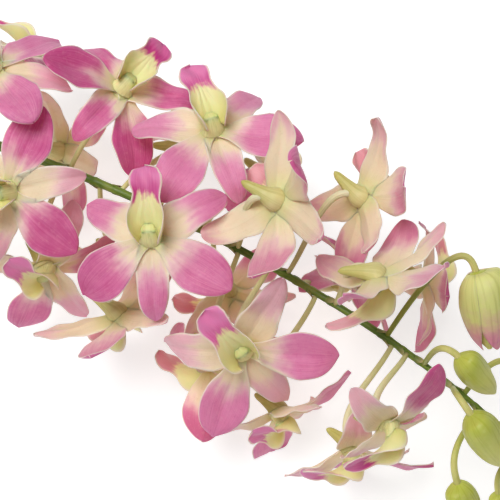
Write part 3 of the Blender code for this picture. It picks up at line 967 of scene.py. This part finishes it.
# Waxy tissue: the colour where a piece begins, the colour where it ends, and the tint of its blotches.
tissueColours = {
    "stalkSkin": ((0.66, 0.65, 0.29, 1), (0.87, 0.80, 0.53, 1), (0.79, 0.75, 0.41, 1)),
    "throatSkin": ((0.80, 0.71, 0.38, 1), (0.56, 0.52, 0.15, 1), (0.74, 0.66, 0.30, 1)),
    # for the column, the first colour also lies in the hollow under its cap, as painted light
    "columnSkin": ((0.84, 0.77, 0.38, 1), (0.82, 0.76, 0.35, 1), (0.86, 0.80, 0.44, 1)),
    # for the cap, the first colour is painted shade in its cleft
    "antherCap": ((0.74, 0.68, 0.30, 1), (0.78, 0.72, 0.32, 1), (0.75, 0.69, 0.30, 1)),
    "bractSkin": ((0.16, 0.22, 0.04, 1), (0.46, 0.40, 0.18, 1), (0.30, 0.30, 0.09, 1)),
    "budSkin": ((0.50, 0.54, 0.09, 1), (0.68, 0.65, 0.21, 1), (0.60, 0.61, 0.17, 1)),
    "openBudSkin": ((0.74, 0.73, 0.26, 1), (0.72, 0.25, 0.38, 1), (0.74, 0.69, 0.30, 1)),
    "openBudInside": ((0.74, 0.66, 0.40, 1), (0.74, 0.24, 0.44, 1), (0.8, 0.6, 0.5, 1)),
    "budStalkSkin": ((0.36, 0.42, 0.08, 1), (0.66, 0.62, 0.22, 1), (0.54, 0.54, 0.15, 1)),
    "cutFace": ((0.50, 0.52, 0.24, 1), (0.42, 0.36, 0.18, 1), (0.32, 0.24, 0.12, 1)),
}
# What differs from the pattern below for some of them.
tissueGlow = {"columnSkin": 0.5, "antherCap": 0.8}
tissueTurns = {"openBudSkin": (0.22, 0.66)}
tissuePattern = {
    "glow": 0.2,
    "colourRise": (0.05, 0.95),   # where one colour turns to the other, along a piece
    "roughness": 0.45,
    "roughRise": (0.3, 0.7, 0.37, 0.55),
    "blotches": 220.0,
    "wander": 0.4,                # how far blotches shift the change of colour
    "tintRise": (0.52, 0.75, 0.0, 0.6),
    "veins": (5.5, 1.3),          # round a piece and along it
    "veinRise": (0.50, 0.30, 0.0, 0.7),
    "darker": {"Saturation": 1.12, "Value": 0.78},
    "cells": 1800.0,
    "veinBump": 1.5,              # how much higher the veins stand than the cells
    "bump": (0.3, 0.0003),
}


def tissueFinish(name):
    pattern = tissuePattern
    first, last, tint = tissueColours[name]
    glow = tissueGlow.get(name, pattern["glow"])
    finish, tree, shader = newFinish(name, pattern["roughness"], glow=glow)
    blotch = noise(tree, objectPlace(tree), pattern["blotches"], 3.0)
    fromMean = calc(tree, "SUBTRACT", blotch, 0.5)
    share = calc(tree, "MULTIPLY_ADD", fromMean, pattern["wander"], shareOf(tree, "along"))
    turned = rise(tree, share, *tissueTurns.get(name, pattern["colourRise"]))
    colour = mixColour(tree, turned, first, last)
    colour = mixColour(tree, rise(tree, blotch, *pattern["tintRise"]), colour, tint)
    roundIt, alongIt = pattern["veins"]
    place = put(tree, "CombineXYZ", {
        0: calc(tree, "MULTIPLY", shareOf(tree, "sideways"), roundIt),
        1: calc(tree, "MULTIPLY", shareOf(tree, "upwards"), roundIt),
        2: calc(tree, "MULTIPLY", shareOf(tree, "along"), alongIt),
    }).outputs[0]
    veins = noise(tree, place, 1.0, 3.0)
    darker = put(tree, "HueSaturation", {**pattern["darker"], "Color": colour}).outputs[0]
    colour = mixColour(tree, rise(tree, veins, *pattern["veinRise"]), colour, darker)
    setColour(tree, shader, colour)
    tree.links.new(rise(tree, blotch, *pattern["roughRise"]), shader.inputs["Roughness"])
    cells = noise(tree, objectPlace(tree), pattern["cells"], 2.0)
    height = calc(tree, "MULTIPLY_ADD", veins, pattern["veinBump"], cells)
    setBump(tree, shader, height, *pattern["bump"])
    return finish


# Fibres that run along the stem and its dry sheaths.
fibreLook = {
    "stemSkin": {
        "roughness": 0.42,
        "roughRise": (0.3, 0.7, 0.34, 0.52),
        "glow": 0.08,
        "stretch": (60.0, 900.0, 900.0),
        "detail": 3.0,
        "blotches": 70.0,
        "colours": ((0.075, 0.15, 0.016, 1), (0.19, 0.28, 0.035, 1), (0.27, 0.31, 0.06, 1)),
        "fibreRise": (0.35, 0.7),
        "tintRise": (0.5, 0.8),
        "bump": (0.5, 0.0004),
    },
    "sheathPaper": {
        "roughness": 0.75,
        "glow": 0.1,
        "stretch": (80.0, 1400.0, 1400.0),
        "detail": 4.0,
        "blotches": 240.0,
        "colours": ((0.42, 0.30, 0.15, 1), (0.70, 0.57, 0.36, 1), (0.33, 0.31, 0.12, 1)),
        "fibreRise": (0.3, 0.7),
        "tintRise": (0.55, 0.75),
        "bump": (0.5, 0.0004),
    },
}


def fibreFinish(name):
    look = fibreLook[name]
    finish, tree, shader = newFinish(name, look["roughness"], glow=look["glow"])
    place = objectPlace(tree)
    stretched = put(tree, "Mapping", {"Vector": place, "Scale": look["stretch"]}).outputs[0]
    fibres = noise(tree, stretched, 1.0, look["detail"])
    blotch = noise(tree, place, look["blotches"], 3.0)
    dark, light, tint = look["colours"]
    colour = mixColour(tree, rise(tree, fibres, *look["fibreRise"]), dark, light)
    setColour(tree, shader, mixColour(tree, rise(tree, blotch, *look["tintRise"]), colour, tint))
    if "roughRise" in look:
        tree.links.new(rise(tree, fibres, *look["roughRise"]), shader.inputs["Roughness"])
    setBump(tree, shader, fibres, *look["bump"])
    return finish


finishes = {
    "petalFront": petalFinish("front"),
    "petalBack": petalFinish("back"),
    "petalRim": rimFinish(),
    "lipFront": lipFinish("lipFront", 1.0),
    "lipBack": lipFinish("lipBack", 0.7),
    **{name: tissueFinish(name) for name in tissueColours},
    **{name: fibreFinish(name) for name in fibreLook},
}
print("finishes made:", len(finishes))


def dress(piece, *names):
    for name in names:
        piece.data.materials.append(finishes[name])


# Blooms.
bloomMake = {
    "seed": 21,
    "thickness": 0.55,            # millimetres, at the middle of a petal
    "marginThickness": 0.5,       # share of it left at the edge
    # a name that ends in Over is the part of a piece's length over which its form comes in or ends
    "ruffle": 0.5,                # height of each of the small waves along an edge, in millimetres
    "ripples": (1.6, 2.9, 5.1),   # waves along one petal
    "rippleSlant": 0.6,
    "recurve": 1.3,               # how far a petal's edges bend back
    "recurveOver": (0.3, 0.8),
    "recurveSpread": (0.2, 1.0),  # from the least bent to the most
    "groove": 0.55,               # depth of the groove along the middle
    "grooveWidth": 1.3,
    "buckle": 0.8,                # height of the broad waves over the whole petal
    "buckleWaves": (2.3, 1.4),    # along it and across
    "buckleOver": (0.1, 0.4),
    "tipCurl": (0.0, 2.8),        # how far a tip bends back, from the least to the most
    "tipCurlFrom": 0.62,
    # how much wider the root is, how much deeper the pink, where it starts, how full it is, the margin
    "petal": {"flare": 0.45, "deeper": 0.12, "start": (0.04, 0.16), "flush": (0.9, 1.0), "margin": 0.06},
    "sepal": {"flare": 0.85, "deeper": -0.05, "start": (0.18, 0.36), "flush": (0.9, 1.1), "margin": 0.14},
    "sepalWidth": 0.88,           # a sepal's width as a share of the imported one's
    "sepalRound": 4.0,            # how round its end is
    "bluntSpread": (0.3, 1.0),    # from the least blunt end to the bluntest
    "flareOver": (0.0, 0.5),
    "outline": 0.045,             # how much a petal's edge wanders, as a share of its width
    "outlineWaves": 7,
    "outlineLag": 2.1,            # how much its two edges differ
    "outlineOver": (0.15, 0.5),
    "deepShare": 0.16,            # share of the petals that are a deep magenta
    "deeper": 0.4,                # and how much deeper they are
    "depthSpread": (-0.12, 0.12),
    # how deep a bloom's pink is, where on its petals it begins, and how much its sepals have
    "tones": {1: 0.24, 2: 0.10, 3: 0.12, 4: 0.52, 6: 0.45, 9: 0.5},
    "starts": {1: 0.04, 2: 0.08, 3: 0.02, 4: 0.0},
    "startShare": 0.4,            # what a petal's own start counts for in these
    "sepalFlush": {1: 0.85, 2: 0.5, 3: 0.8, 4: 1.0},
    "otherTones": (0.05, 0.55),
    "otherFlush": (0.35, 0.75),
    # the throat from its front to the spur's end: dorsal and front place, radius
    "throat": (
        (0, 2.3, 1.0), (0, 1.6, 2.8), (0, 0.5, 4.4), (-0.2, -0.9, 4.6), (-2.6, -2.9, 3.3),
        (-6.4, -5.2, 2.3), (-9.6, -7.0, 1.7), (-12.0, -8.0, 1.1),
    ),
    "throatRings": 34,
    "throatEnds": (0.04, 0.86),   # where its front end is round by, and where its spur begins to narrow
    "stalkRings": 30,
    "stalkGrows": 1.5,            # how much thicker a stalk is at the bloom
    "footDepth": 1.2,             # how far it reaches into the stem
    "keel": 0.5,                  # height of the ridges in the lip's throat
    "keelPlaces": (-0.24, 0.0, 0.24),
    "keelWidth": 0.07,
    "keelOver": ((0.1, 0.25), (0.5, 0.62)),
    "frillWaves": (9, 13),        # along the lip's edge and over its lobe
    "frillOver": ((0.45, 0.65), (0.6, 0.8)),
    "lobeFrill": 0.35,            # height of the lobe's waves, where an edge's are 1
    "lipWidth": (
        (0, 17.0), (0.10, 21.5), (0.22, 24.5), (0.34, 21.0), (0.46, 14.0), (0.60, 11.2), (0.76, 12.6),
        (0.89, 11.2), (0.97, 6.6), (1, 0),
    ),
    "lipFold": ((0, 124), (0.12, 122), (0.24, 108), (0.34, 88), (0.46, 56), (0.60, 40), (0.78, 24), (1, 12)),
}

tepalBlade = modelBlade("tepal")
lipBlade = modelBlade("lip")
stalkHose = modelHose("stalkHose", 14, 26)
roundHose = modelHose("roundHose", 22, 26)


def bladeShares(piece):
    points = getPoints(piece)
    u = np.sin(math.pi / 4 * (points[:, 1] + 1))
    return np.clip(u, 0, 1), np.clip(points[:, 0], -1, 1)


def bluntEnd(u, roundness, share):
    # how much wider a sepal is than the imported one, which ends in a plain point
    inner = 1 - np.maximum(1 - u, 0.001)
    packed = (1 - inner**roundness) ** flower["tipSharpness"]
    wide = bloomMake["sepalWidth"] * (1 - inner ** bloomMake["sepalRound"]) ** 0.5
    return 1 + share * (wide / packed - 1)


def makeTepal(bloom, index, draw, shade):
    name, _, _, width, _, _, roundness = tepals[index][:7]
    piece = copyOf(tepalBlade, name)
    kind = name.split("_")[1]
    own = bloomMake[kind]
    u, v = bladeShares(piece)
    ripples = bloomMake["ripples"]
    phases = [draw.uniform(0, 2 * math.pi) for _ in ripples]
    slant = bloomMake["rippleSlant"] * v
    waves = sum(np.sin(count * math.pi * u + phase + slant) for count, phase in zip(ripples, phases))
    edge = np.abs(v) ** 3 * np.sin(math.pi * np.clip(u, 0, 1)) ** 0.7
    groove = np.exp(-((v * width / 2 / bloomMake["grooveWidth"]) ** 2)) * (1 - u**3) * np.minimum(1, u * 6)
    relief = bloomMake["ruffle"] * waves * edge - bloomMake["groove"] * groove
    recurve = bloomMake["recurve"] * v**4 * rampUp(u, *bloomMake["recurveOver"])
    relief -= recurve * draw.uniform(*bloomMake["recurveSpread"])
    lengthways, crossways = bloomMake["buckleWaves"]
    buckle = np.sin(lengthways * math.pi * u + phases[0]) * np.cos(crossways * v + phases[1])
    relief += bloomMake["buckle"] * (buckle * rampUp(u, *bloomMake["buckleOver"]))
    relief -= draw.uniform(*bloomMake["tipCurl"]) * rampUp(u, bloomMake["tipCurlFrom"], 1.0) ** 2
    lag = bloomMake["outlineLag"] * np.sign(v)
    wander = bloomMake["outline"] * np.sin(bloomMake["outlineWaves"] * u + phases[2] + lag)
    wander *= rampUp(u, *bloomMake["outlineOver"])
    blunt = 1.0
    if kind == "sepal":
        blunt = bluntEnd(u, roundness, draw.uniform(*bloomMake["bluntSpread"]))
    flare = 1 + own["flare"] * (1 - rampUp(u, *bloomMake["flareOver"]))
    setPoints(piece, tepalPoints(bloom, index, u, v * (1 + wander) * blunt * flare, relief))
    depth = shade["depth"] + draw.uniform(*bloomMake["depthSpread"]) + own["deeper"]
    if draw.random() < bloomMake["deepShare"] and shade["start"] is None:
        depth += bloomMake["deeper"]
    setShare(piece, "depth", depth)
    start = draw.uniform(*own["start"])
    if shade["start"] is not None:
        start = start * bloomMake["startShare"] + shade["start"]
    setShare(piece, "start", start)
    setShare(piece, "flush", draw.uniform(*own["flush"]) * (shade["flush"] if kind == "sepal" else 1.0))
    setShare(piece, "margin", own["margin"])
    setShare(piece, "draw", draw.random())
    dress(piece, "petalFront", "petalBack", "petalRim")
    return piece


def hoseLine(bloom, shape, count):
    # the line and radii of a hose through the shape's rows: dorsal and front place, radius
    line = throughPoints([inPlace(bloom, 0, up, front) for up, front, _ in shape], count)
    radii = throughPoints([[radius] for _, _, radius in shape], count)[:, 0] * bloom["size"]
    return line, radii


def makeThroat(name, bloom):
    # the pouch behind the lip, round at both ends
    count = bloomMake["throatRings"]
    line, radii = hoseLine(bloom, bloomMake["throat"], count)
    shares = np.linspace(0, 1, count)
    front, behind = bloomMake["throatEnds"]
    for toEnd in (1 - shares / front, (shares - behind) / (1 - behind)):
        radii = radii * np.sqrt(1 - np.clip(toEnd, 0, 1) ** 2 * 0.96)
    piece = copyOf(roundHose, name)
    layHose(piece, line, radii)
    dress(piece, "throatSkin")
    return piece


def makeStalk(name, line, radii, skin):
    # its foot reaches a little into the stem
    piece = copyOf(stalkHose, name)
    line[0] -= unit(line[1] - line[0]) * bloomMake["footDepth"]
    layHose(piece, line, radii)
    dress(piece, skin)
    return piece


def makeLip(number, bloom, draw, depth):
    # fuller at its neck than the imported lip, with ridges in its throat and a frilled lobe
    piece = copyOf(lipBlade, f"lipBlade_{number:02d}")
    u, v = bladeShares(piece)
    ridges = sum(np.exp(-(((v - place) / bloomMake["keelWidth"]) ** 2)) for place in bloomMake["keelPlaces"])
    comesIn, ends = bloomMake["keelOver"]
    keel = bloomMake["keel"] * ridges * rampUp(u, *comesIn) * (1 - rampUp(u, *ends))
    phase = draw.uniform(0, 2 * math.pi)
    edgeWaves, lobeWaves = bloomMake["frillWaves"]
    edgeOver, lobeOver = bloomMake["frillOver"]
    frill = np.abs(v) ** 3 * np.sin(edgeWaves * u + phase + 1.4 * np.sign(v)) * rampUp(u, *edgeOver)
    frill += bloomMake["lobeFrill"] * np.sin(lobeWaves * u + 2.0 * phase + 5 * v) * rampUp(u, *lobeOver)
    width, fold = (smoothTable(bloomMake[name], u) for name in ("lipWidth", "lipFold"))
    setPoints(piece, lipPoints(bloom, u, -v, width, np.radians(fold), keel + frill))
    setShare(piece, "depth", depth + draw.uniform(-0.1, 0.2))
    setShare(piece, "draw", draw.random())
    dress(piece, "lipFront", "lipBack", "petalRim")
    thicken(piece, bloomMake["thickness"], isPetal=True)
    column = makeColumn(f"column_{number:02d}", bloom)
    cap = makeCap(f"cap_{number:02d}", bloom)
    lip = joined(f"lipAndColumn_{number:02d}", [piece, column, cap])
    hold(lip, f"lip_{number:02d}")


columnMake = {
    # dorsal and front place, radius
    "places": ((0.6, 1.2, 4.8), (0.3, 2.6, 4.2), (-0.5, 4.1, 3.6), (-1.5, 5.6, 3.3), (-2.2, 6.6, 2.8)),
    "rings": 20,
    "flatten": 0.80,
    "hollow": 0.14,               # depth of the hollow under the cap, as a share of the radius
    "hollowOver": ((0.35, 0.6), (0.82, 0.92)),
    # painted light: the hollow under the cap takes some of the root's slightly paler colour
    "hollowPaintedLight": 1.6,           # how much of the root's colour lies in it
    "capPlace": (-2.3, 6.5),
    "capSize": (2.6, 2.2, 1.0),
    "capLean": 0.7,               # how far the cap leans over to the lip's side
    "capSquare": 0.62,            # 1 is round, smaller is squarer
    "capCorners": 1.15,           # how far its corners reach
    "capTaper": 0.24,
    "cleft": 0.16,
    "cleftWidth": 0.2,
    # painted shade: how far the cleft takes the cap's darker first colour
    "cleftPaintedShade": 2.2,            # how much of the other colour lies in it
}


def makeColumn(name, bloom):
    line, radii = hoseLine(bloom, columnMake["places"], columnMake["rings"])
    piece = copyOf(roundHose, name)
    points = getPoints(piece)
    share, turn = points[:, 2], np.arctan2(points[:, 1], points[:, 0])
    facing = np.clip(np.cos(turn + math.pi / 2), 0, 1) ** 1.5
    comesIn, ends = columnMake["hollowOver"]
    dent = columnMake["hollow"] * facing * rampUp(share, *comesIn) * (1 - rampUp(share, *ends))
    points[:, :2] *= (1 - dent)[:, None]
    piece.data.vertices.foreach_set("co", points.ravel())
    layHose(piece, line, radii, bloom["axes"][0], columnMake["flatten"])
    # painted light: the hollow under the cap is given the root's slightly paler colour
    setShare(piece, "along", np.clip(share - columnMake["hollowPaintedLight"] * dent, 0, 1))
    dress(piece, "columnSkin")
    return piece


def squarer(values):
    return np.sign(values) * np.abs(values) ** columnMake["capSquare"]


def modelCap():
    # the cap on the column's end: broad at the back, narrow at the lip's side, with a cleft
    bpy.ops.object.select_all(action="DESELECT")
    bpy.ops.mesh.primitive_uv_sphere_add(segments=24, ring_count=14, radius=1)
    cap = bpy.context.object
    cap.name = "capBall"
    bpy.ops.object.shade_smooth()
    points = squarer(getPoints(cap))
    points /= np.maximum(1, np.linalg.norm(points, axis=1)[:, None] / columnMake["capCorners"])
    points[:, 0] *= 1 + columnMake["capTaper"] * points[:, 1]
    nearMiddle = np.exp(-((points[:, 0] / columnMake["cleftWidth"]) ** 2))
    cleft = columnMake["cleft"] * nearMiddle * np.clip(points[:, 2], 0, 1)
    points[:, 2] -= cleft
    cap.data.vertices.foreach_set("co", points.ravel())
    # painted shade: the cleft is given the cap's darker first colour
    setShare(cap, "along", np.clip(1 - columnMake["cleftPaintedShade"] * cleft, 0, 1))
    return cap


def makeCap(name, bloom):
    cap = copyOf(capBall, name)
    points = getPoints(cap)
    up, front = columnMake["capPlace"]
    wide, deep, tall = columnMake["capSize"]
    lean = columnMake["capLean"]
    places = inPlace(
        bloom,
        points[:, 0] * wide,
        up + points[:, 1] * deep - points[:, 2] * lean,
        front + points[:, 2] * tall + points[:, 1] * lean,
    )
    setPoints(cap, places)
    dress(cap, "antherCap")
    return cap


capBall = modelCap()


def makeBloom(number, bloom):
    draw = random.Random(bloomMake["seed"] * 100 + number)
    depth = bloomMake["tones"].get(number, draw.uniform(*bloomMake["otherTones"]))
    flush = bloomMake["sepalFlush"].get(number, draw.uniform(*bloomMake["otherFlush"]))
    shade = {"depth": depth, "start": bloomMake["starts"].get(number), "flush": flush}
    blades = [makeTepal(bloom, k, draw, shade) for k in range(len(tepals))]
    petals = joined(f"tepals_{number:02d}", blades)
    thicken(petals, bloomMake["thickness"], isPetal=True)
    rings, radius = bloomMake["stalkRings"], flower["stalkRadius"]
    radii = np.linspace(radius, bloomMake["stalkGrows"] * radius, rings)
    stalk = makeStalk("stalk", stalkLine(bloom, rings), radii, "stalkSkin")
    throat = makeThroat("throat", bloom)
    flowerHead = joined(f"openBloom_{number:02d}", [petals, stalk, throat])
    hold(flowerHead, f"bloom_{number:02d}")
    makeLip(number, bloom, draw, depth)


for number, bloom in enumerate(blooms, 1):
    makeBloom(number, bloom)
print("blooms made")


# Buds: three sepals closed over each other, with a chin where the spur grows.
budMake = {
    "overlap": 0.075,             # step from one closed sepal to the next, as a share of the radius
    "twist": 0.5,
    "corners": 0.05,              # how three-sided the end of a bud is
    "cornersOver": (0.3, 0.9),
    "chinStands": 0.24,           # how far the short spur bulges out, as a share of the width
    "chinLift": 0.07,             # and how far up, as a share of the length
    "chinPlace": (0.11, 0.52),    # where it is highest and where it ends, along the bud
    "chinAngle": 1.0,
    "openBud": 1,                 # this bud has started to open
    "opening": 2.6,               # millimetres its sepals' tips stand off
    "openingShares": (0.7, 0.95, 1.2),      # each sepal's share of that
    "inset": 0.3,                 # and how far their roots lie in the bud
    "sepalWidth": 70.0,           # half the angle a sepal of the open bud takes
    "sepalSpread": 0.1,           # how far it may stand from a third of the way round
    "sepalFrom": 0.02,            # where on the bud it begins
    "sepalOverlap": 0.05,
    "core": 0.8,
    "foot": (0.05, 0.6),          # where a bud rounds off at its foot, and how much
    "stalkSlims": 8,              # a small bud's stalk is its width over this
    "stalkGrows": 1.35,
}
budHose = modelHose("budHose", 42, 34)


def budFrame(bud):
    side = unit(np.cross(bud["hang"], (0, 0, 1)))
    return side, np.cross(bud["hang"], side)


def onBud(bud, share, turn, radius):
    side, other = budFrame(bud)
    around = np.cos(turn)[:, None] * side + np.sin(turn)[:, None] * other
    return bud["base"] + bud["hang"] * bud["size"][0] * share[:, None] + around * radius[:, None]


def addChin(bud, share, turn, radius):
    # the short spur, which bulges on the side away from the stalk
    away = unit(bud["base"] - budStalk(bud, 6)[-3])
    side, other = budFrame(bud)
    turned = turn - math.atan2(away @ other, away @ side)
    near = np.exp(-((((turned + math.pi) % (2 * math.pi) - math.pi) / budMake["chinAngle"]) ** 2))
    top, foot = budMake["chinPlace"]
    near *= np.sin(math.pi / 2 * np.clip(share / top, 0, 1)) * (1 - rampUp(share, top, foot))
    return share - budMake["chinLift"] * near, radius + budMake["chinStands"] * bud["size"][1] * near


def makeBudBody(name, bud, slim):
    body = copyOf(budHose, name)
    points = getPoints(body)
    share, turn = points[:, 2], np.arctan2(points[:, 1], points[:, 0])
    inner = np.hypot(points[:, 0], points[:, 1])
    part = (turn / (2 * math.pi) * 3 + budMake["twist"] * share) % 1.0
    radius = smoothTable(budOutline, share) * bud["size"][1] / 2 * slim
    end, rounded = budMake["foot"]
    radius *= np.sqrt(1 - np.clip(1 - share / end, 0, 1) ** 2 * rounded)
    full = np.sin(math.pi * np.clip(share * 1.1, 0, 1)) ** 0.5
    radius *= 1 + budMake["overlap"] * (part - 0.5) * full
    radius *= 1 - budMake["corners"] * np.cos(2 * math.pi * part) * rampUp(share, *budMake["cornersOver"])
    setShare(body, "along", share)
    if "stands" in bud:
        share, radius = addChin(bud, share, turn, radius)
    setPoints(body, onBud(bud, share, turn, radius * inner))
    setShare(body, "sideways", np.cos(turn))
    setShare(body, "upwards", np.sin(turn))
    dress(body, "budSkin")
    return body


def makeBudSepals(number, bud, draw):
    sepals = []
    for k in range(3):
        piece = copyOf(tepalBlade, f"budSepal_{number:02d}_{k}")
        u, v = bladeShares(piece)
        share = budMake["sepalFrom"] + (1 - budMake["sepalFrom"]) * u
        half = math.radians(budMake["sepalWidth"]) * (1 - u**5) ** 0.55
        spread = budMake["sepalSpread"]
        turn = 2 * math.pi * k / 3 + draw.uniform(-spread, spread) + v * half
        radius = smoothTable(budOutline, share) * bud["size"][1] / 2 * (1 - budMake["sepalOverlap"] * v)
        radius += budMake["opening"] * u**3 * budMake["openingShares"][k] - budMake["inset"]
        share, radius = addChin(bud, share, turn, radius)
        setPoints(piece, onBud(bud, share, turn, radius))
        setShare(piece, "sideways", np.cos(turn))
        setShare(piece, "upwards", np.sin(turn))
        setShare(piece, "draw", draw.random())
        dress(piece, "openBudSkin", "openBudInside", "petalRim")
        sepals.append(piece)
    shell = joined(f"budShell_{number:02d}", sepals)
    setShare(shell, "along", np.clip((getPoints(tepalBlade)[:, 1] + 1) / 2, 0, 1).tolist() * 3)
    thicken(shell, bloomMake["thickness"], isPetal=True)
    return shell


def makeBud(number, bud):
    name = f"closedBud_{number:02d}"
    draw = random.Random(bloomMake["seed"] * 300 + number)
    opened = number == budMake["openBud"]
    parts = [makeBudBody(name, bud, budMake["core"] if opened else 1.0)]
    if opened:
        parts.append(makeBudSepals(number, bud, draw))
    thin = min(flower["stalkRadius"], bud["size"][1] / budMake["stalkSlims"])
    rings = bloomMake["stalkRings"]
    radii = thin * np.linspace(1, budMake["stalkGrows"], rings)
    stalk = makeStalk(name + "_stalk", budStalk(bud, rings), radii, "budStalkSkin")
    hold(joined(name, [*parts, stalk]), f"bud_{number:02d}")


for number, bud in enumerate(buds, 1):
    makeBud(number, bud)
print("buds made")


# The stem, with a joint at each stalk, papery sheaths, bracts and the last small buds.
stemMake = {
    "slim": 0.25,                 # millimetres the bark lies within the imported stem
    "jointBefore": 2.5,           # how far below a stalk its joint is
    "jointSwell": 0.34,           # millimetres added to the radius at a joint
    "jointRadius": 2.5,           # of a stem this thick, and less on a thinner one
    "jointLength": 1.5,
    "ringDepth": 0.12,            # the scar round a joint
    "ringWidth": 0.6,
    "bareJoints": (-182, -132, -88, -62),
    "sheaths": ((-182, 12, 1.0), (-132, 13, 1.0), (-88, 12, 0.9), (-62, 10, 0.8)),
    "sheathSlant": 0.22,
    "sheathStands": (0.15, 0.4, 0.1),       # off the bark at its foot, above it and at its end
    "sheathWaves": (5, 0.12),     # round its end: how many and how high
    "sheathThickness": 0.3,
    "bractBefore": 4.6,
    "bractLength": 4.4,
    "bractStands": 1.3,           # how far a bract's tip stands off the stem
    "bractTaper": 1.6,
    "bractCup": 0.25,
    "bractAngle": 78.0,
    "bractThickness": 0.22,
    "clearance": 0.12,            # between the bark and a bract's root
    "budLean": 0.9,               # how far the last buds lean away from the stem
    "budSeat": (0.05, 0.97),      # where they begin and how long they are, as shares of their length
    "tipBuds": ((267, -40, 9, 4.6), (274, 130, 7.5, 3.8), (281, -20, 6.5, 3.2), (288, 90, 5.5, 2.8)),
}


def barkRadius(station):
    return readTable(stem["radius"], station) - stemMake["slim"]


def makeStem():
    stations = np.arange(stem["cutEnd"], stem["tip"] + 0.5, 1.0)
    line = np.array([stemAt(station)[0] for station in stations])
    radii = barkRadius(stations)
    joints = [row[0] - stemMake["jointBefore"] for row in (*bloomPlaces, *budPlaces)]
    for joint in (*joints, *stemMake["bareJoints"]):
        away = (stations - joint) / stemMake["jointLength"]
        radii += stemMake["jointSwell"] * np.exp(-(away**2)) * (radii / stemMake["jointRadius"])
        away = (stations - joint + stemMake["jointLength"]) / stemMake["ringWidth"]
        radii -= stemMake["ringDepth"] * np.exp(-(away**2))
    piece = modelHose("stemAxis", 20, len(stations) - 1)
    layHose(piece, line, radii)
    dress(piece, "stemSkin", "cutFace")
    for face in piece.data.polygons:
        if len(face.vertices) > 4 and face.center.x < 0:
            face.material_index = 1
    hold(piece, "stem")


def onStem(station, turn, stands):
    # points round the stem, where each has its own station, angle and height off the axis
    rows = []
    for place, angle, height in zip(station, turn, stands):
        point, _, up, side = stemAt(place)
        rows.append(point + height * (math.cos(angle) * up + math.sin(angle) * side))
    return np.array(rows)


def makeBract(number, row):
    # a thin pointed scale that clasps the stem below a stalk
    piece = copyOf(bractBlade, f"bract_{number:02d}")
    points = getPoints(piece)
    u, v = (points[:, 1] + 1) / 2, points[:, 0]
    radius = barkRadius(row[0])
    tapered = u ** stemMake["bractTaper"]
    turn = math.radians(row[1]) + v * math.radians(stemMake["bractAngle"]) * (1 - tapered)
    station = row[0] - stemMake["bractBefore"] + stemMake["bractLength"] * u
    stands = radius + stemMake["clearance"]
    stands = stands + stemMake["bractStands"] * tapered * (1 - stemMake["bractCup"] * v**2)
    setPoints(piece, onStem(station, turn, stands))
    setShare(piece, "along", u)
    dress(piece, "bractSkin")
    return piece


def makeSheath(number, row):
    # a dry sheath that wraps a joint, cut off at a slant
    station, length, standsOff = row
    piece = copyOf(sheathTube, f"sheath_{number:02d}")
    points = getPoints(piece)
    turn = np.arctan2(points[:, 1], points[:, 0])
    share = points[:, 2]
    radius = barkRadius(station)
    reach = share * length * (1 - stemMake["sheathSlant"] * share * (1 + np.cos(turn - 1.9 * number)))
    low, above, end = stemMake["sheathStands"]
    flare = np.interp(share, (0, 0.12, 1), (low, low + standsOff * above, standsOff + end))
    waves, height = stemMake["sheathWaves"]
    stands = radius + flare + height * np.sin(waves * turn + number) * share
    setPoints(piece, onStem(station + reach, turn, stands))
    setShare(piece, "along", share)
    dress(piece, "sheathPaper")
    return piece


def makeTipBud(number, row):
    station, side, length, width = row
    point, along, _, _ = stemAt(station)
    lean = unit(along + stemMake["budLean"] * outward(station, side))
    begins, long = stemMake["budSeat"]
    bud = {"base": point + lean * length * begins, "hang": lean, "size": (length * long, width)}
    return makeBudBody(f"tipBud_{number}", bud, 1.0)


makeStem()
bractBlade = modelBlade("bract")
bracts = joined("bracts", [makeBract(k, row) for k, row in enumerate((*bloomPlaces, *budPlaces), 1)])
thicken(bracts, stemMake["bractThickness"])
sheathTube = modelHose("sheathTube", 36, 8, ends="NOTHING")
sheaths = joined("sheaths", [makeSheath(k, row) for k, row in enumerate(stemMake["sheaths"], 1)])
thicken(sheaths, stemMake["sheathThickness"])
tipBuds = joined("tipBuds", [makeTipBud(k, row) for k, row in enumerate(stemMake["tipBuds"], 1)])
for piece in (bracts, sheaths, tipBuds):
    hold(piece, "stem")
print("stem made")

for template in (tepalBlade, lipBlade, bractBlade, stalkHose, roundHose, budHose, sheathTube, capBall):
    bpy.data.objects.remove(template)
